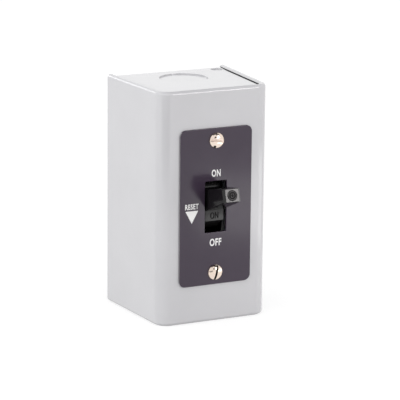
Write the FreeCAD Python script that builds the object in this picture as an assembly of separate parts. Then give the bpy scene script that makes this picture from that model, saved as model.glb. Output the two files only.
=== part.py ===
"""Manual motor starter: a toggle-operated starter with a thermal trip, in a surface-mounted steel box.

Millimetres. +X is to the right and +Z up for someone facing the box. The wall plane is Y = 0 and the
front faces -Y. The origin is the centre of the back's wall face, and the handle rests in ON, pointing up.
"""
import FreeCAD, Part
import math
import os

V = FreeCAD.Vector

# Cover: one sheet wrapped round the front and both sides, which open out towards the wall; its top and
# bottom edges are turned in
COVER_FRONT_WIDTH = 53.4
COVER_REAR_WIDTH = 59.7
COVER_HEIGHT = 106.4
COVER_DEPTH = 51.5
COVER_SHEET = 1.0
COVER_BEND = 6.4
LIP_WIDTH = 1.9
LIP_RADIUS = 1.5
COVER_REAR_STEP = 1.6

# Plate on the cover's front, with the handle's window
NAMEPLATE_WIDTH = 35.4
NAMEPLATE_HEIGHT = 71.5
NAMEPLATE_SHEET = 0.9
NAMEPLATE_CORNER = 3.0
WINDOW_WIDTH = 10.6
WINDOW_HEIGHT = 23.4
COVER_WINDOW_MARGIN = 0.6

# Screws that hold the cover to the strap
COVER_SCREW_SPACING = 60.3
COVER_SCREW_HEAD = 7.2
COVER_SCREW_RISE = 1.9
COVER_SCREW_LENGTH = 10.5
SMALL_SHANK = 3.5
SCREW_CLEARANCE = 0.3
THREAD_CLEARANCE = 0.05
SCREW_END_GAP = 1.0
COVER_SLOT_UPPER = 12.0
COVER_SLOT_LOWER = 102.0

# Form of every screw head, as shares of its diameter and rise
HEAD_RIM_SHARE = 0.35
SLOT_WIDTH_SHARE = 0.14
SLOT_DEPTH_SHARE = 0.55
SLOT_TURN = 30.0

# Base: back plate, two end walls with knockouts and two short side flanges
BASE_SHEET = 1.2
BASE_BEND = 2.2
END_WALL_STEP = 1.0
END_WALL_GAP = 1.6
SIDE_CLEARANCE = 0.3
FLANGE_HEIGHT = 7.0
FLANGE_END_GAP = 6.0
KNOCKOUT = 22.2
KNOCKOUT_FROM_WALL = 18.8
KNOCKOUT_STEP = 0.5
DIMPLE = 5.6
DIMPLE_X = 23.0
DIMPLE_FROM_WALL = 6.2
WALL_HOLE_SPACING = 76.2
WALL_HOLE = 5.2
GROUND_FROM_SIDE = 9.45
GROUND_FROM_END = 8.0
GROUND_HEAD = 7.6
GROUND_RISE = 2.6
GROUND_SHANK = 4.0

# Strap that carries the starter, and the brackets under the end walls
STRAP_SPACING = 83.3
STRAP_SHEET = 1.5
STRAP_WIDTH = 16.0
STRAP_WAIST = 22.0
STRAP_WAIST_HEIGHT = 34.0
STRAP_END_GAP = 2.15
STRAP_CORNER = 3.25
STRAP_SLOT = 6.0
COVER_TO_STRAP = 2.8
COVER_SEAT_GAP = 0.3
STRAP_BOSS = 8.0
STRAP_BOSS_TAPER = 0.8
BRACKET_WIDTH = 14.0
BRACKET_FLANGE = 10.0
BRACKET_BEND = 1.8
BRACKET_BELOW_HOLE = 5.0
BRACKET_CLEARANCE = 0.5
STRAP_SCREW_HEAD = 6.6
STRAP_SCREW_RISE = 1.8
STRAP_SCREW_LENGTH = 7.0

# Handle: a lever between two flat faces behind the window, a round skirt and a tail behind the pivot
PIVOT_DEPTH = 13.0
HANDLE_TILT = 16.5
HANDLE_REACH = 30.2
TIP_WIDTH = 8.4
TIP_HEIGHT = 6.0
TIP_BEVEL = 1.0
LEVER_EDGE = 0.7
LEVER_ROOT = 10.0
LEVER_ROOT_HEIGHT = 10.6
DRUM_WIDTH = 9.4
FACE_DEPTH = 11.8
FACE_DROP = 6.7
SKIRT_RADIUS = 12.4
SKIRT_HALF_ANGLE = 85.0
HUB_RADIUS = 4.5
PIN_DIAMETER = 3.2
PIN_CLEARANCE = 0.05
PIN_GRIP = 3.5
TAIL_LENGTH = 8.0
TAIL_BALL = 3.0
TAIL_NECK = 2.0
TAIL_WIDTH = 3.0

# Moulded housing behind the strap, and the plate that closes its back
WIRE_GAP = 2.7
HOUSING_HEIGHT = 68.0
HOUSING_DEPTH = 30.5
HOUSING_EDGE = 2.0
POCKET_WALL = 1.5
WELL_CLEARANCE = 0.8
CHAMBER_FLOOR = 2.0
CHAMBER_WALL = 2.5
CHAMBER_PAST_TERMINAL = 2.5
REAR_SHEET = 2.0
RIVET_X = 5.0
RIVET_Z = 26.8
RIVET = 2.5
RIVET_HEAD = 3.8
RIVET_RISE = 0.8
RIVET_TAPER = 0.5
FIT = 0.05

# Conductors, terminals and contacts
CONDUCTOR_SHEET = 0.8
CONDUCTOR_WIDTH = 4.0
CONDUCTOR_BEND = 1.2
TERMINAL_DEPTH = 8.0
TERMINAL_POCKET_HEIGHT = 12.0
TERMINAL_POCKET_WIDTH = 12.7
TERMINAL_PLATE_WIDTH = 11.0
TERMINAL_PLATE_GAP = 1.0
TERMINAL_SCREW_HEAD = 7.2
TERMINAL_SCREW_RISE = 2.6
TERMINAL_SCREW_LENGTH = 7.0
CLAMP_SIZE = 8.6
CLAMP_SHEET = 1.0
CLAMP_CORNER = 1.0
CONTACT_SPACING = 5.75
CONTACT_LEVEL = -9.0
CONTACT = 3.0
FIXED_CONTACT_RISE = 0.9
MOVING_CONTACT_RISE = 0.8
CONTACT_GAP = 0.05
BRIDGE_SHEET = 0.8
CONDUCTOR_BACK_GAP = 1.5

# Contact carrier, driven up and down by the handle's tail
CARRIER_DEPTH = 7.0
CARRIER_HEIGHT = 10.0
CARRIER_BACK_GAP = 1.0
CARRIER_SIDE_GAP = 0.3
CARRIER_EDGE = 1.0
FORK_WIDTH = 8.4
FORK_HEIGHT = 8.4
FORK_SLOT_CLEARANCE = 0.1
CONTACT_SPRING = 3.4
CONTACT_SPRING_LENGTH = 5.0
CONTACT_SPRING_TURNS = 3
OPENING_SPRING = 5.0
OPENING_SPRING_TURNS = 5
SPRING_WIRE = 0.8

# Thermal trip: heater coil round a solder pot, and the ratchet wheel that the pot holds
TRIP_POCKET_WIDTH = 9.5
TRIP_POCKET_TOP = 17.0
TRIP_POCKET_BOTTOM = -20.0
TRIP_DEPTH = 14.7
BLANK_POCKET_DEPTH = 2.0
POT_Z = 5.0
POT_DIAMETER = 5.6
POT_LENGTH = 10.1
SHAFT_DIAMETER = 2.4
SHAFT_LENGTH = 6.0
COIL_DIAMETER = 6.8
COIL_PITCH = 1.4
COIL_TURNS = 4.25
COIL_STRIP = 0.9
COIL_STRIP_SHEET = 0.5
LEAD_BEND = 1.1
HEATER_TAB = 6.0
HEATER_SCREW_UPPER = -7.0
HEATER_SCREW_LOWER = -16.0
HEATER_SCREW_HEAD = 5.4
HEATER_SCREW_RISE = 2.2
HEATER_SCREW_LENGTH = 6.0
HEATER_SHANK = 2.8
WHEEL_DIAMETER = 8.4
WHEEL_ROOT = 6.4
WHEEL_TEETH = 12
WHEEL_SHEET = 2.4
WHEEL_GAP = 0.2
TOOTH_TIP_ANGLE = 3.0
TOOTH_BACK_ANGLE = 22.0
PAWL_SEAT_ANGLE = 23.0
PAWL_PIVOT_RISE = 7.8
PAWL_HUB = 4.4
PAWL_PIN = 2.0
PAWL_PIN_SEAT = 1.0
PAWL_SEAT_STEP = 0.3
PAWL_SHEET = 2.2
PAWL_REACH = 4.25
PAWL_TIP = 0.5
PAWL_ROOT = 2.4
PAWL_SPRING_SHEET = 0.4
PAWL_SPRING_WIDTH = 2.0
PAWL_SPRING_GAP = 0.1
PAWL_SPRING_DROP = 3.0
PAWL_SPRING_BEND = 0.8

# Places that follow from the sizes above
half_width = COVER_FRONT_WIDTH / 2
half_height = COVER_HEIGHT / 2
front = -COVER_DEPTH
flare = (COVER_REAR_WIDTH - COVER_FRONT_WIDTH) / 2 / (COVER_DEPTH - COVER_REAR_STEP)
plate_front = front - NAMEPLATE_SHEET
cover_inside = front + COVER_SHEET
strap_front = cover_inside + COVER_TO_STRAP
strap_back = strap_front + STRAP_SHEET
bracket_bottom = STRAP_SPACING / 2 - BRACKET_BELOW_HOLE
pivot_y = plate_front + PIVOT_DEPTH
end_wall_outside = half_height - END_WALL_STEP
end_wall_inside = end_wall_outside - BASE_SHEET
base_inset = LIP_WIDTH + END_WALL_GAP
base_half = half_width + flare * COVER_DEPTH - base_inset
ground_x = base_half - GROUND_FROM_SIDE
housing_front = strap_back
housing_back = housing_front + HOUSING_DEPTH
housing_half = half_width - COVER_SHEET - WIRE_GAP
housing_top = HOUSING_HEIGHT / 2
chamber_half = housing_half - CHAMBER_WALL
well_half = DRUM_WIDTH / 2 + WELL_CLEARANCE
well_top = SKIRT_RADIUS + WELL_CLEARANCE
rear_back = housing_back + REAR_SHEET
terminal_floor = housing_front + TERMINAL_DEPTH
conductor_front = terminal_floor - CONDUCTOR_SHEET
terminal_bottom = housing_top - TERMINAL_POCKET_HEIGHT
chamber_top = terminal_bottom + CHAMBER_PAST_TERMINAL
terminal_z = housing_top - TERMINAL_POCKET_HEIGHT / 2
pocket_outer = housing_half - POCKET_WALL
pocket_inner = pocket_outer - TERMINAL_POCKET_WIDTH
terminal_outer = pocket_outer - TERMINAL_PLATE_GAP / 2
terminal_inner = terminal_outer - TERMINAL_PLATE_WIDTH
terminal_x = (terminal_outer + terminal_inner) / 2
conductor_back = housing_back - CONDUCTOR_BACK_GAP
trip_floor = housing_front + TRIP_DEPTH
chamber_front = trip_floor + CHAMBER_FLOOR
trip_x = -(pocket_outer - TRIP_POCKET_WIDTH / 2)
load_x = -trip_x
line_x = load_x - CONTACT_SPACING
carrier_back = conductor_back - CONDUCTOR_SHEET - CARRIER_BACK_GAP
carrier_front = carrier_back - CARRIER_DEPTH
contact_y = (carrier_front + carrier_back) / 2
bridge_bottom = CONTACT_LEVEL + FIXED_CONTACT_RISE + CONTACT_GAP + MOVING_CONTACT_RISE
carrier_bottom = bridge_bottom + BRIDGE_SHEET
tail_drop = TAIL_LENGTH * math.sin(math.radians(HANDLE_TILT))
pot_front = trip_floor - POT_LENGTH
wheel_back = pot_front - WHEEL_GAP
wheel_front = wheel_back - WHEEL_SHEET
heater_back = conductor_front
heater_front = heater_back - CONDUCTOR_SHEET
heater_middle = (heater_back + heater_front) / 2
pawl_z = POT_Z + PAWL_PIVOT_RISE
BEYOND = 5.0


def block(x, y, z):
    """Solid between the low and high values given for each axis."""
    return Part.makeBox(x[1] - x[0], y[1] - y[0], z[1] - z[0], V(x[0], y[0], z[0]))


def rod(radius, x, z, y):
    """Round bar along Y through (x, z), between the two y values."""
    return Part.makeCylinder(radius, y[1] - y[0], V(x, y[0], z), V(0, 1, 0))


def cross_rod(radius, y, z, half):
    """Round bar along X through (y, z), reaching half to each side of the middle."""
    return Part.makeCylinder(radius, 2 * half, V(-half, y, z), V(1, 0, 0))


def polygon_face(points):
    """Flat face bounded by straight edges through the points."""
    return Part.Face(Part.makePolygon(points + points[:1]))


def rounded_path(points, radius):
    """Open wire of straight runs through the points, with a tangent arc at each inner point."""
    edges = []
    start = points[0]
    for before, corner, after in zip(points, points[1:], points[2:]):
        to_before = (before - corner).normalize()
        to_after = (after - corner).normalize()
        half_turn = to_before.getAngle(to_after) / 2
        reach = radius / math.tan(half_turn)
        bisector = (to_before + to_after).normalize()
        arc_start = corner + to_before * reach
        arc_end = corner + to_after * reach
        arc_middle = corner + bisector * (radius / math.sin(half_turn) - radius)
        edges.append(Part.LineSegment(start, arc_start).toShape())
        edges.append(Part.Arc(arc_start, arc_middle, arc_end).toShape())
        start = arc_end
    edges.append(Part.LineSegment(start, points[-1]).toShape())
    return Part.Wire(edges)


def bent_sheet(points, radius, sheet, along):
    """Sheet folded along the points, thickened to the side that sheet's sign picks, and run out by along."""
    face = rounded_path(points, radius).makeOffset2D(-sheet, 2, True, True, False)
    return face.Faces[0].extrude(along)


def folded(yz_points, radius, sheet, x):
    """Sheet folded in the YZ plane and as wide as the two x values."""
    points = [V(x[0], y, z) for y, z in yz_points]
    return bent_sheet(points, radius, sheet, V(x[1] - x[0], 0, 0))


def rounded_panel(width, height, corner, y):
    """Upright panel centred on the Y axis, with rounded corners, between the two y values."""
    panel = block((-width / 2, width / 2), y, (-height / 2, height / 2))
    return panel.makeFillet(corner, [e for e in panel.Edges if runs_along(e, V(0, 1, 0))])


def runs_along(edge, direction):
    """True for a straight edge that is parallel to the direction."""
    if not isinstance(edge.Curve, Part.Line):
        return False
    return abs(edge.Curve.Direction.dot(direction)) > 0.999


def mirrored(shape, normal):
    """The shape's mirror image through the plane at the origin with this normal."""
    return shape.mirror(V(0, 0, 0), normal)


def above_and_below(shape):
    """The shape and its image below the middle."""
    return Part.makeCompound([shape, mirrored(shape, V(0, 0, 1))])


def left_and_right(shape):
    """The shape and its image at the left."""
    return Part.makeCompound([shape, mirrored(shape, V(1, 0, 0))])


def screw(head, rise, shank, length, x, z, seat, slot_turn=SLOT_TURN):
    """Slotted screw that faces the front: a low domed head on its seat and a plain shank behind it."""
    rim = rise * HEAD_RIM_SHARE
    slot_width = head * SLOT_WIDTH_SHARE
    slot_depth = rise * SLOT_DEPTH_SHARE
    crown = rise - rim
    dome = ((head / 2) ** 2 + crown ** 2) / (2 * crown)
    half_turn = math.asin(head / 2 / dome) / 2
    dome_middle = V(dome * math.sin(half_turn), dome * (1 - math.cos(half_turn)) - rise, 0)
    outline = [
        Part.LineSegment(V(0, -rise, 0), V(0, length, 0)).toShape(),
        Part.LineSegment(V(0, length, 0), V(shank / 2, length, 0)).toShape(),
        Part.LineSegment(V(shank / 2, length, 0), V(shank / 2, 0, 0)).toShape(),
        Part.LineSegment(V(shank / 2, 0, 0), V(head / 2, 0, 0)).toShape(),
        Part.LineSegment(V(head / 2, 0, 0), V(head / 2, -rim, 0)).toShape(),
        Part.Arc(V(head / 2, -rim, 0), dome_middle, V(0, -rise, 0)).toShape(),
    ]
    body = Part.Face(Part.Wire(outline)).revolve(V(0, 0, 0), V(0, 1, 0), 360)
    slot = block((-head, head), (-rise - BEYOND, slot_depth - rise), (-slot_width / 2, slot_width / 2))
    slot.rotate(V(0, 0, 0), V(0, 1, 0), slot_turn)
    body = body.cut(slot)
    body.translate(V(x, seat, z))
    return body


def coil(radius, pitch, turns, section):
    """Coil that climbs +Z from the section, which stands at (radius, 0, 0) in the XZ plane."""
    path = Part.Wire(Part.makeLongHelix(pitch, pitch * turns, radius).Edges)
    return path.makePipeShell([section], True, True)


def round_spring(diameter, wire, turns, length):
    """Compression spring along Z between two flat ends, length apart."""
    mean = (diameter - wire) / 2
    pitch = (length - wire) / turns
    section = Part.Wire(Part.makeCircle(wire / 2, V(mean, 0, 0), V(0, 1, 0)))
    spring = coil(mean, pitch, turns, section)
    spring.translate(V(0, 0, wire / 2))
    return spring


def wrap_half(y, inset):
    """Half the cover's width at a depth, inset from its flared outer face."""
    return half_width + flare * (y - front) - inset * math.hypot(1, flare)


def wrap_prism(inset, rear, z, edge_radius):
    """Block with the cover's plan, inset from its outer face, its upper and lower edges rounded."""
    face_y = front + inset
    corner_x = wrap_half(face_y, inset)
    rear_x = wrap_half(rear, inset)
    plan = [V(x, y, z[0]) for x, y in
            ((-rear_x, rear), (-corner_x, face_y), (corner_x, face_y), (rear_x, rear))]
    path = rounded_path(plan, COVER_BEND - inset)
    rear_edge = Part.LineSegment(plan[3], plan[0]).toShape()
    prism = Part.Face(Part.Wire(path.Edges + [rear_edge])).extrude(V(0, 0, z[1] - z[0]))
    if edge_radius <= 0:
        return prism
    rims = [e for e in prism.Edges if e.BoundBox.ZLength < 1e-6 and e.BoundBox.YMin < rear - 1e-6]
    return prism.makeFillet(edge_radius, rims)


def cover_shell():
    """Wrapped cover with turned-in top and bottom edges, a window and two screw holes."""
    inside_top = half_height - COVER_SHEET
    shell = wrap_prism(0, -COVER_REAR_STEP, (-half_height, half_height), LIP_RADIUS)
    hollow = wrap_prism(COVER_SHEET, BEYOND, (-inside_top, inside_top), LIP_RADIUS - COVER_SHEET)
    mouth = wrap_prism(LIP_WIDTH, BEYOND, (-half_height - BEYOND, half_height + BEYOND), 0)
    through = (front - BEYOND, cover_inside + BEYOND)
    half_window = WINDOW_WIDTH / 2 + COVER_WINDOW_MARGIN
    window_top = WINDOW_HEIGHT / 2 + COVER_WINDOW_MARGIN
    window = block((-half_window, half_window), through, (-window_top, window_top))
    hole = rod(SMALL_SHANK / 2 + SCREW_CLEARANCE, 0, COVER_SCREW_SPACING / 2, through)
    return shell.cut([hollow, mouth, window, above_and_below(hole)])


def nameplate():
    """Thin plate on the cover's front, with the handle's window and two screw holes."""
    through = (plate_front - BEYOND, front + BEYOND)
    plate = rounded_panel(NAMEPLATE_WIDTH, NAMEPLATE_HEIGHT, NAMEPLATE_CORNER, (plate_front, front))
    window = block((-WINDOW_WIDTH / 2, WINDOW_WIDTH / 2), through, (-WINDOW_HEIGHT / 2, WINDOW_HEIGHT / 2))
    hole = rod(SMALL_SHANK / 2 + SCREW_CLEARANCE, 0, COVER_SCREW_SPACING / 2, through)
    return plate.cut([window, above_and_below(hole)])


def cover_screws():
    """The two screws that hold plate and cover to the strap."""
    screws = []
    middle = COVER_SCREW_SPACING / 2
    for z, slot_turn in ((middle, COVER_SLOT_UPPER), (-middle, COVER_SLOT_LOWER)):
        screws.append(screw(COVER_SCREW_HEAD, COVER_SCREW_RISE, SMALL_SHANK, COVER_SCREW_LENGTH,
                            0, z, plate_front, slot_turn))
    return Part.makeCompound(screws)


def knockout(shape, radius, x, from_wall, step):
    """The shape with a round of its upper end wall pressed inwards by a step."""
    recess = Part.makeCylinder(radius, step, V(x, -from_wall, end_wall_outside - step))
    bulge = Part.makeCylinder(radius, step, V(x, -from_wall, end_wall_inside - step))
    return shape.cut(recess).fuse(bulge)


def base_box():
    """Back plate folded into two end walls with knockouts, and into two short side flanges."""
    tray = folded([(front, end_wall_outside), (0, end_wall_outside), (0, -end_wall_outside),
                   (front, -end_wall_outside)],
                  BASE_BEND, -BASE_SHEET, (-COVER_REAR_WIDTH / 2, COVER_REAR_WIDTH / 2))
    tray = tray.common(wrap_prism(base_inset, BEYOND, (-half_height, half_height), 0))
    flange_x = wrap_half(-FLANGE_HEIGHT, COVER_SHEET) - SIDE_CLEARANCE
    flange_end = end_wall_outside - FLANGE_END_GAP
    flange = bent_sheet([V(0, 0, -flange_end), V(flange_x, 0, -flange_end),
                         V(flange_x, -FLANGE_HEIGHT, -flange_end)],
                        BASE_BEND, -BASE_SHEET, V(0, 0, 2 * flange_end))
    box = tray.fuse([flange, mirrored(flange, V(1, 0, 0))]).removeSplitter()
    box = knockout(box, KNOCKOUT / 2, 0, KNOCKOUT_FROM_WALL, KNOCKOUT_STEP)
    box = knockout(box, DIMPLE / 2, DIMPLE_X, DIMPLE_FROM_WALL, KNOCKOUT_STEP)
    box = mirrored(knockout(mirrored(box, V(0, 0, 1)), KNOCKOUT / 2, 0, KNOCKOUT_FROM_WALL, KNOCKOUT_STEP),
                   V(0, 0, 1))
    through = (-BEYOND, BEYOND)
    wall_hole = rod(WALL_HOLE / 2, 0, WALL_HOLE_SPACING / 2, through)
    ground_hole = rod(GROUND_SHANK / 2 + FIT, ground_x, GROUND_FROM_END - end_wall_inside, through)
    return box.cut([above_and_below(wall_hole), ground_hole])


def ground_screw():
    """Bonding screw in the back plate, near the lower end wall."""
    return screw(GROUND_HEAD, GROUND_RISE, GROUND_SHANK, BASE_SHEET,
                 ground_x, GROUND_FROM_END - end_wall_inside, -BASE_SHEET)


def strap_brackets():
    """Two angles under the end walls that the strap's ends are screwed to."""
    angle = folded([(strap_back + BRACKET_FLANGE, end_wall_inside), (strap_back, end_wall_inside),
                    (strap_back, bracket_bottom)],
                   BRACKET_BEND, BASE_SHEET, (-BRACKET_WIDTH / 2, BRACKET_WIDTH / 2))
    hole = rod(SMALL_SHANK / 2 + THREAD_CLEARANCE, 0, STRAP_SPACING / 2,
               (strap_back - BEYOND, strap_back + BEYOND))
    return above_and_below(angle.cut(hole))


def strap_screws():
    """The two screws through the strap's end slots."""
    upper = screw(STRAP_SCREW_HEAD, STRAP_SCREW_RISE, SMALL_SHANK, STRAP_SCREW_LENGTH,
                  0, STRAP_SPACING / 2, strap_front)
    return above_and_below(upper)


def mounting_strap():
    """Steel strap with a waist round the handle, end slots and raised seats for the cover's screws."""
    top = end_wall_inside - STRAP_END_GAP
    side = STRAP_WIDTH / 2
    waist = STRAP_WAIST / 2
    waist_top = STRAP_WAIST_HEIGHT / 2
    shoulder = waist_top + (waist - side)
    outline = [(side, top), (side, shoulder), (waist, waist_top), (waist, -waist_top), (side, -shoulder),
               (side, -top), (-side, -top), (-side, -shoulder), (-waist, -waist_top), (-waist, waist_top),
               (-side, shoulder), (-side, top)]
    strap = polygon_face([V(x, strap_front, z) for x, z in outline]).extrude(V(0, STRAP_SHEET, 0))
    ends = [e for e in strap.Edges if runs_along(e, V(0, 1, 0)) and abs(abs(e.CenterOfMass.z) - top) < 1e-6]
    strap = strap.makeFillet(STRAP_CORNER, ends)
    seat_front = cover_inside + COVER_SEAT_GAP
    seat = Part.makeCone(STRAP_BOSS / 2 - STRAP_BOSS_TAPER, STRAP_BOSS / 2, strap_front - seat_front,
                         V(0, seat_front, COVER_SCREW_SPACING / 2), V(0, 1, 0))
    strap = strap.fuse(above_and_below(seat))
    through = (seat_front - BEYOND, strap_back + BEYOND)
    cover_hole = rod(SMALL_SHANK / 2 + THREAD_CLEARANCE, 0, COVER_SCREW_SPACING / 2, through)
    slot_radius = SMALL_SHANK / 2 + SCREW_CLEARANCE
    slot_half = STRAP_SLOT / 2 - slot_radius
    middle = STRAP_SPACING / 2
    slot = block((-slot_half, slot_half), through, (middle - slot_radius, middle + slot_radius))
    slot_end = left_and_right(rod(slot_radius, slot_half, middle, through))
    slot = slot.fuse(slot_end)
    rivet_hole = left_and_right(rod(RIVET / 2 + FIT, RIVET_X, RIVET_Z, through))
    window = block((-well_half, well_half), through, (-well_top, well_top))
    cuts = [above_and_below(cover_hole), above_and_below(slot), above_and_below(rivet_hole), window]
    return strap.cut(cuts)


def handle_at_level():
    """The handle with its lever level, pointing to the front, and its pivot at the origin."""
    tilt = math.radians(HANDLE_TILT)
    crest = V(0, -FACE_DEPTH / math.cos(tilt), 0)
    face_end = V(0, FACE_DROP * math.sin(tilt) - FACE_DEPTH * math.cos(tilt),
                 FACE_DROP * math.cos(tilt) + FACE_DEPTH * math.sin(tilt))
    first = math.atan2(face_end.z, -face_end.y)
    last = math.radians(SKIRT_HALF_ANGLE)
    skirt = [V(0, -SKIRT_RADIUS * math.cos(turn), SKIRT_RADIUS * math.sin(turn))
             for turn in (first, (first + last) / 2, last)]
    upper_half = [
        Part.LineSegment(V(0, HUB_RADIUS, 0), crest).toShape(),
        Part.LineSegment(crest, face_end).toShape(),
        Part.LineSegment(face_end, skirt[0]).toShape(),
        Part.Arc(skirt[0], skirt[1], skirt[2]).toShape(),
        Part.LineSegment(skirt[2], V(0, 0, HUB_RADIUS)).toShape(),
        Part.Arc(V(0, 0, HUB_RADIUS), V(0, HUB_RADIUS * math.sqrt(0.5), HUB_RADIUS * math.sqrt(0.5)),
                 V(0, HUB_RADIUS, 0)).toShape(),
    ]
    drum = Part.Face(Part.Wire(upper_half)).extrude(V(DRUM_WIDTH, 0, 0))
    drum = drum.fuse(mirrored(drum, V(0, 0, 1)))
    drum.translate(V(-DRUM_WIDTH / 2, 0, 0))
    sections = []
    root = (-LEVER_ROOT, DRUM_WIDTH, LEVER_ROOT_HEIGHT)
    tip = (-HANDLE_REACH, TIP_WIDTH, TIP_HEIGHT)
    for y, width, height in (root, tip):
        corners = [(-width / 2, -height / 2), (width / 2, -height / 2), (width / 2, height / 2),
                   (-width / 2, height / 2)]
        points = [V(x, y, z) for x, z in corners]
        sections.append(Part.makePolygon(points + points[:1]))
    lever = Part.makeLoft(sections, True, True)
    tip_sides = [e for e in lever.Edges
                 if abs(e.BoundBox.YMax + HANDLE_REACH) < 1e-6 and runs_along(e, V(0, 0, 1))]
    lever = lever.makeChamfer(TIP_BEVEL, tip_sides)
    lever_edges = [e for e in lever.Edges if e.BoundBox.YLength > TIP_HEIGHT]
    lever = lever.makeFillet(LEVER_EDGE, lever_edges)
    tail = block((-TAIL_WIDTH / 2, TAIL_WIDTH / 2), (0, TAIL_LENGTH), (-TAIL_NECK / 2, TAIL_NECK / 2))
    ball = cross_rod(TAIL_BALL / 2, TAIL_LENGTH, 0, TAIL_WIDTH / 2)
    bore = cross_rod(PIN_DIAMETER / 2 + PIN_CLEARANCE, 0, 0, DRUM_WIDTH)
    return drum.fuse([lever, tail, ball]).removeSplitter().cut(bore)


def toggle_handle():
    """The handle in its ON position, tilted up."""
    handle = handle_at_level()
    handle.rotate(V(0, 0, 0), V(1, 0, 0), -HANDLE_TILT)
    handle.translate(V(0, pivot_y, 0))
    return handle


def handle_pin():
    """Pivot pin, held in the housing's walls at both sides of the handle."""
    return cross_rod(PIN_DIAMETER / 2, pivot_y, 0, well_half + PIN_GRIP)


def conductor_slots():
    """Passages in the housing for the conductors that run from the chamber to the front pockets."""
    run = (terminal_floor - FIT, chamber_front + FIT)
    level = (terminal_bottom + TERMINAL_PLATE_GAP / 2 - FIT, terminal_bottom + TERMINAL_PLATE_GAP / 2
             + CONDUCTOR_SHEET + CONDUCTOR_BEND)
    line = block((line_x - CONDUCTOR_WIDTH / 2 - FIT, line_x + CONDUCTOR_WIDTH / 2 + FIT), run, level)
    load_side = (load_x - CONDUCTOR_WIDTH / 2 - FIT, load_x + CONDUCTOR_WIDTH / 2 + FIT)
    load = mirrored(block(load_side, run, level), V(0, 0, 1))
    link_side = (trip_x - CONDUCTOR_WIDTH / 2 - FIT, trip_x + CONDUCTOR_WIDTH / 2 + FIT)
    link = block(link_side, (trip_floor - FIT, chamber_front + FIT),
                 (CONTACT_LEVEL - CONDUCTOR_SHEET - FIT, CONTACT_LEVEL + FIT))
    neck = block(link_side, (conductor_front - BEYOND, terminal_floor),
                 (-terminal_bottom - BEYOND, TRIP_POCKET_BOTTOM + BEYOND))
    return [line, mirrored(line, V(1, 0, 0)), load, link, neck]


def heater_posts():
    """Posts in the trip pocket that back the two heater pads, drilled for the heater's screws."""
    side = (trip_x - CONDUCTOR_WIDTH / 2, trip_x + CONDUCTOR_WIDTH / 2)
    depth = (terminal_floor, trip_floor)
    upper = block(side, depth, (CONTACT_LEVEL + CONDUCTOR_BEND, HEATER_SCREW_UPPER + HEATER_TAB / 2))
    lower = block(side, depth, (TRIP_POCKET_BOTTOM, HEATER_SCREW_LOWER + HEATER_TAB / 2))
    pawl_seat = rod(PAWL_HUB / 2 - PAWL_SEAT_STEP, trip_x, pawl_z, (wheel_back, trip_floor))
    return [upper, lower, pawl_seat]


def screw_passages():
    """Holes in the housing for its rivets and for every screw that reaches into it."""
    through = (housing_front - BEYOND, housing_back + BEYOND)
    rivet = left_and_right(rod(RIVET / 2 + FIT, RIVET_X, RIVET_Z, through))
    cover_end = plate_front + COVER_SCREW_LENGTH + SCREW_END_GAP
    cover = rod(SMALL_SHANK / 2 + 2 * SCREW_CLEARANCE, 0, COVER_SCREW_SPACING / 2,
                (housing_front - BEYOND, cover_end))
    terminal_end = conductor_front - CLAMP_SHEET + TERMINAL_SCREW_LENGTH + FIT
    terminal = left_and_right(rod(SMALL_SHANK / 2 + FIT, terminal_x, terminal_z,
                                  (terminal_floor - FIT, terminal_end)))
    heater_end = heater_front + HEATER_SCREW_LENGTH + FIT
    heater = [rod(HEATER_SHANK / 2 + FIT, trip_x, z, (terminal_floor - BEYOND, heater_end))
              for z in (HEATER_SCREW_UPPER, HEATER_SCREW_LOWER)]
    pawl = rod(PAWL_PIN / 2 + FIT, trip_x, pawl_z, (wheel_front - BEYOND, trip_floor + PAWL_PIN_SEAT))
    pin = cross_rod(PIN_DIAMETER / 2 + FIT, pivot_y, 0, well_half + PIN_GRIP + FIT)
    return [above_and_below(rivet), above_and_below(cover), above_and_below(terminal), pawl, pin] + heater


def switch_housing():
    """Moulded housing: handle well, trip pocket, four terminal pockets and the contact chamber behind."""
    housing = rounded_panel(2 * housing_half, HOUSING_HEIGHT, HOUSING_EDGE, (housing_front, housing_back))
    well = block((-well_half, well_half), (housing_front - BEYOND, chamber_front + FIT),
                 (-well_top, well_top))
    chamber = block((-chamber_half, chamber_half), (chamber_front, housing_back + BEYOND),
                    (-chamber_top, chamber_top))
    trip_side = (trip_x - TRIP_POCKET_WIDTH / 2, trip_x + TRIP_POCKET_WIDTH / 2)
    trip = block(trip_side, (housing_front - BEYOND, trip_floor), (TRIP_POCKET_BOTTOM, TRIP_POCKET_TOP))
    blank = mirrored(block(trip_side, (housing_front - BEYOND, housing_front + BLANK_POCKET_DEPTH),
                           (TRIP_POCKET_BOTTOM, TRIP_POCKET_TOP)), V(1, 0, 0))
    terminal = block((pocket_inner, pocket_outer), (housing_front - BEYOND, terminal_floor),
                     (terminal_bottom, housing_top + BEYOND))
    terminals = above_and_below(left_and_right(terminal))
    bracket_half = BRACKET_WIDTH / 2 + BRACKET_CLEARANCE
    bracket_room = block((-bracket_half, bracket_half),
                         (housing_front - BEYOND, strap_back + BRACKET_FLANGE + BRACKET_CLEARANCE),
                         (bracket_bottom - BRACKET_CLEARANCE, end_wall_inside))
    hollows = [well, chamber, trip, blank, terminals, above_and_below(bracket_room)]
    housing = housing.cut(hollows).fuse(heater_posts())
    return housing.cut(conductor_slots() + screw_passages()).removeSplitter()


def rear_insulator():
    """Plate that closes the housing's back."""
    plate = rounded_panel(2 * housing_half, HOUSING_HEIGHT, HOUSING_EDGE, (housing_back, rear_back))
    through = (housing_back - BEYOND, rear_back + BEYOND)
    return plate.cut(above_and_below(left_and_right(rod(RIVET / 2 + FIT, RIVET_X, RIVET_Z, through))))


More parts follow.
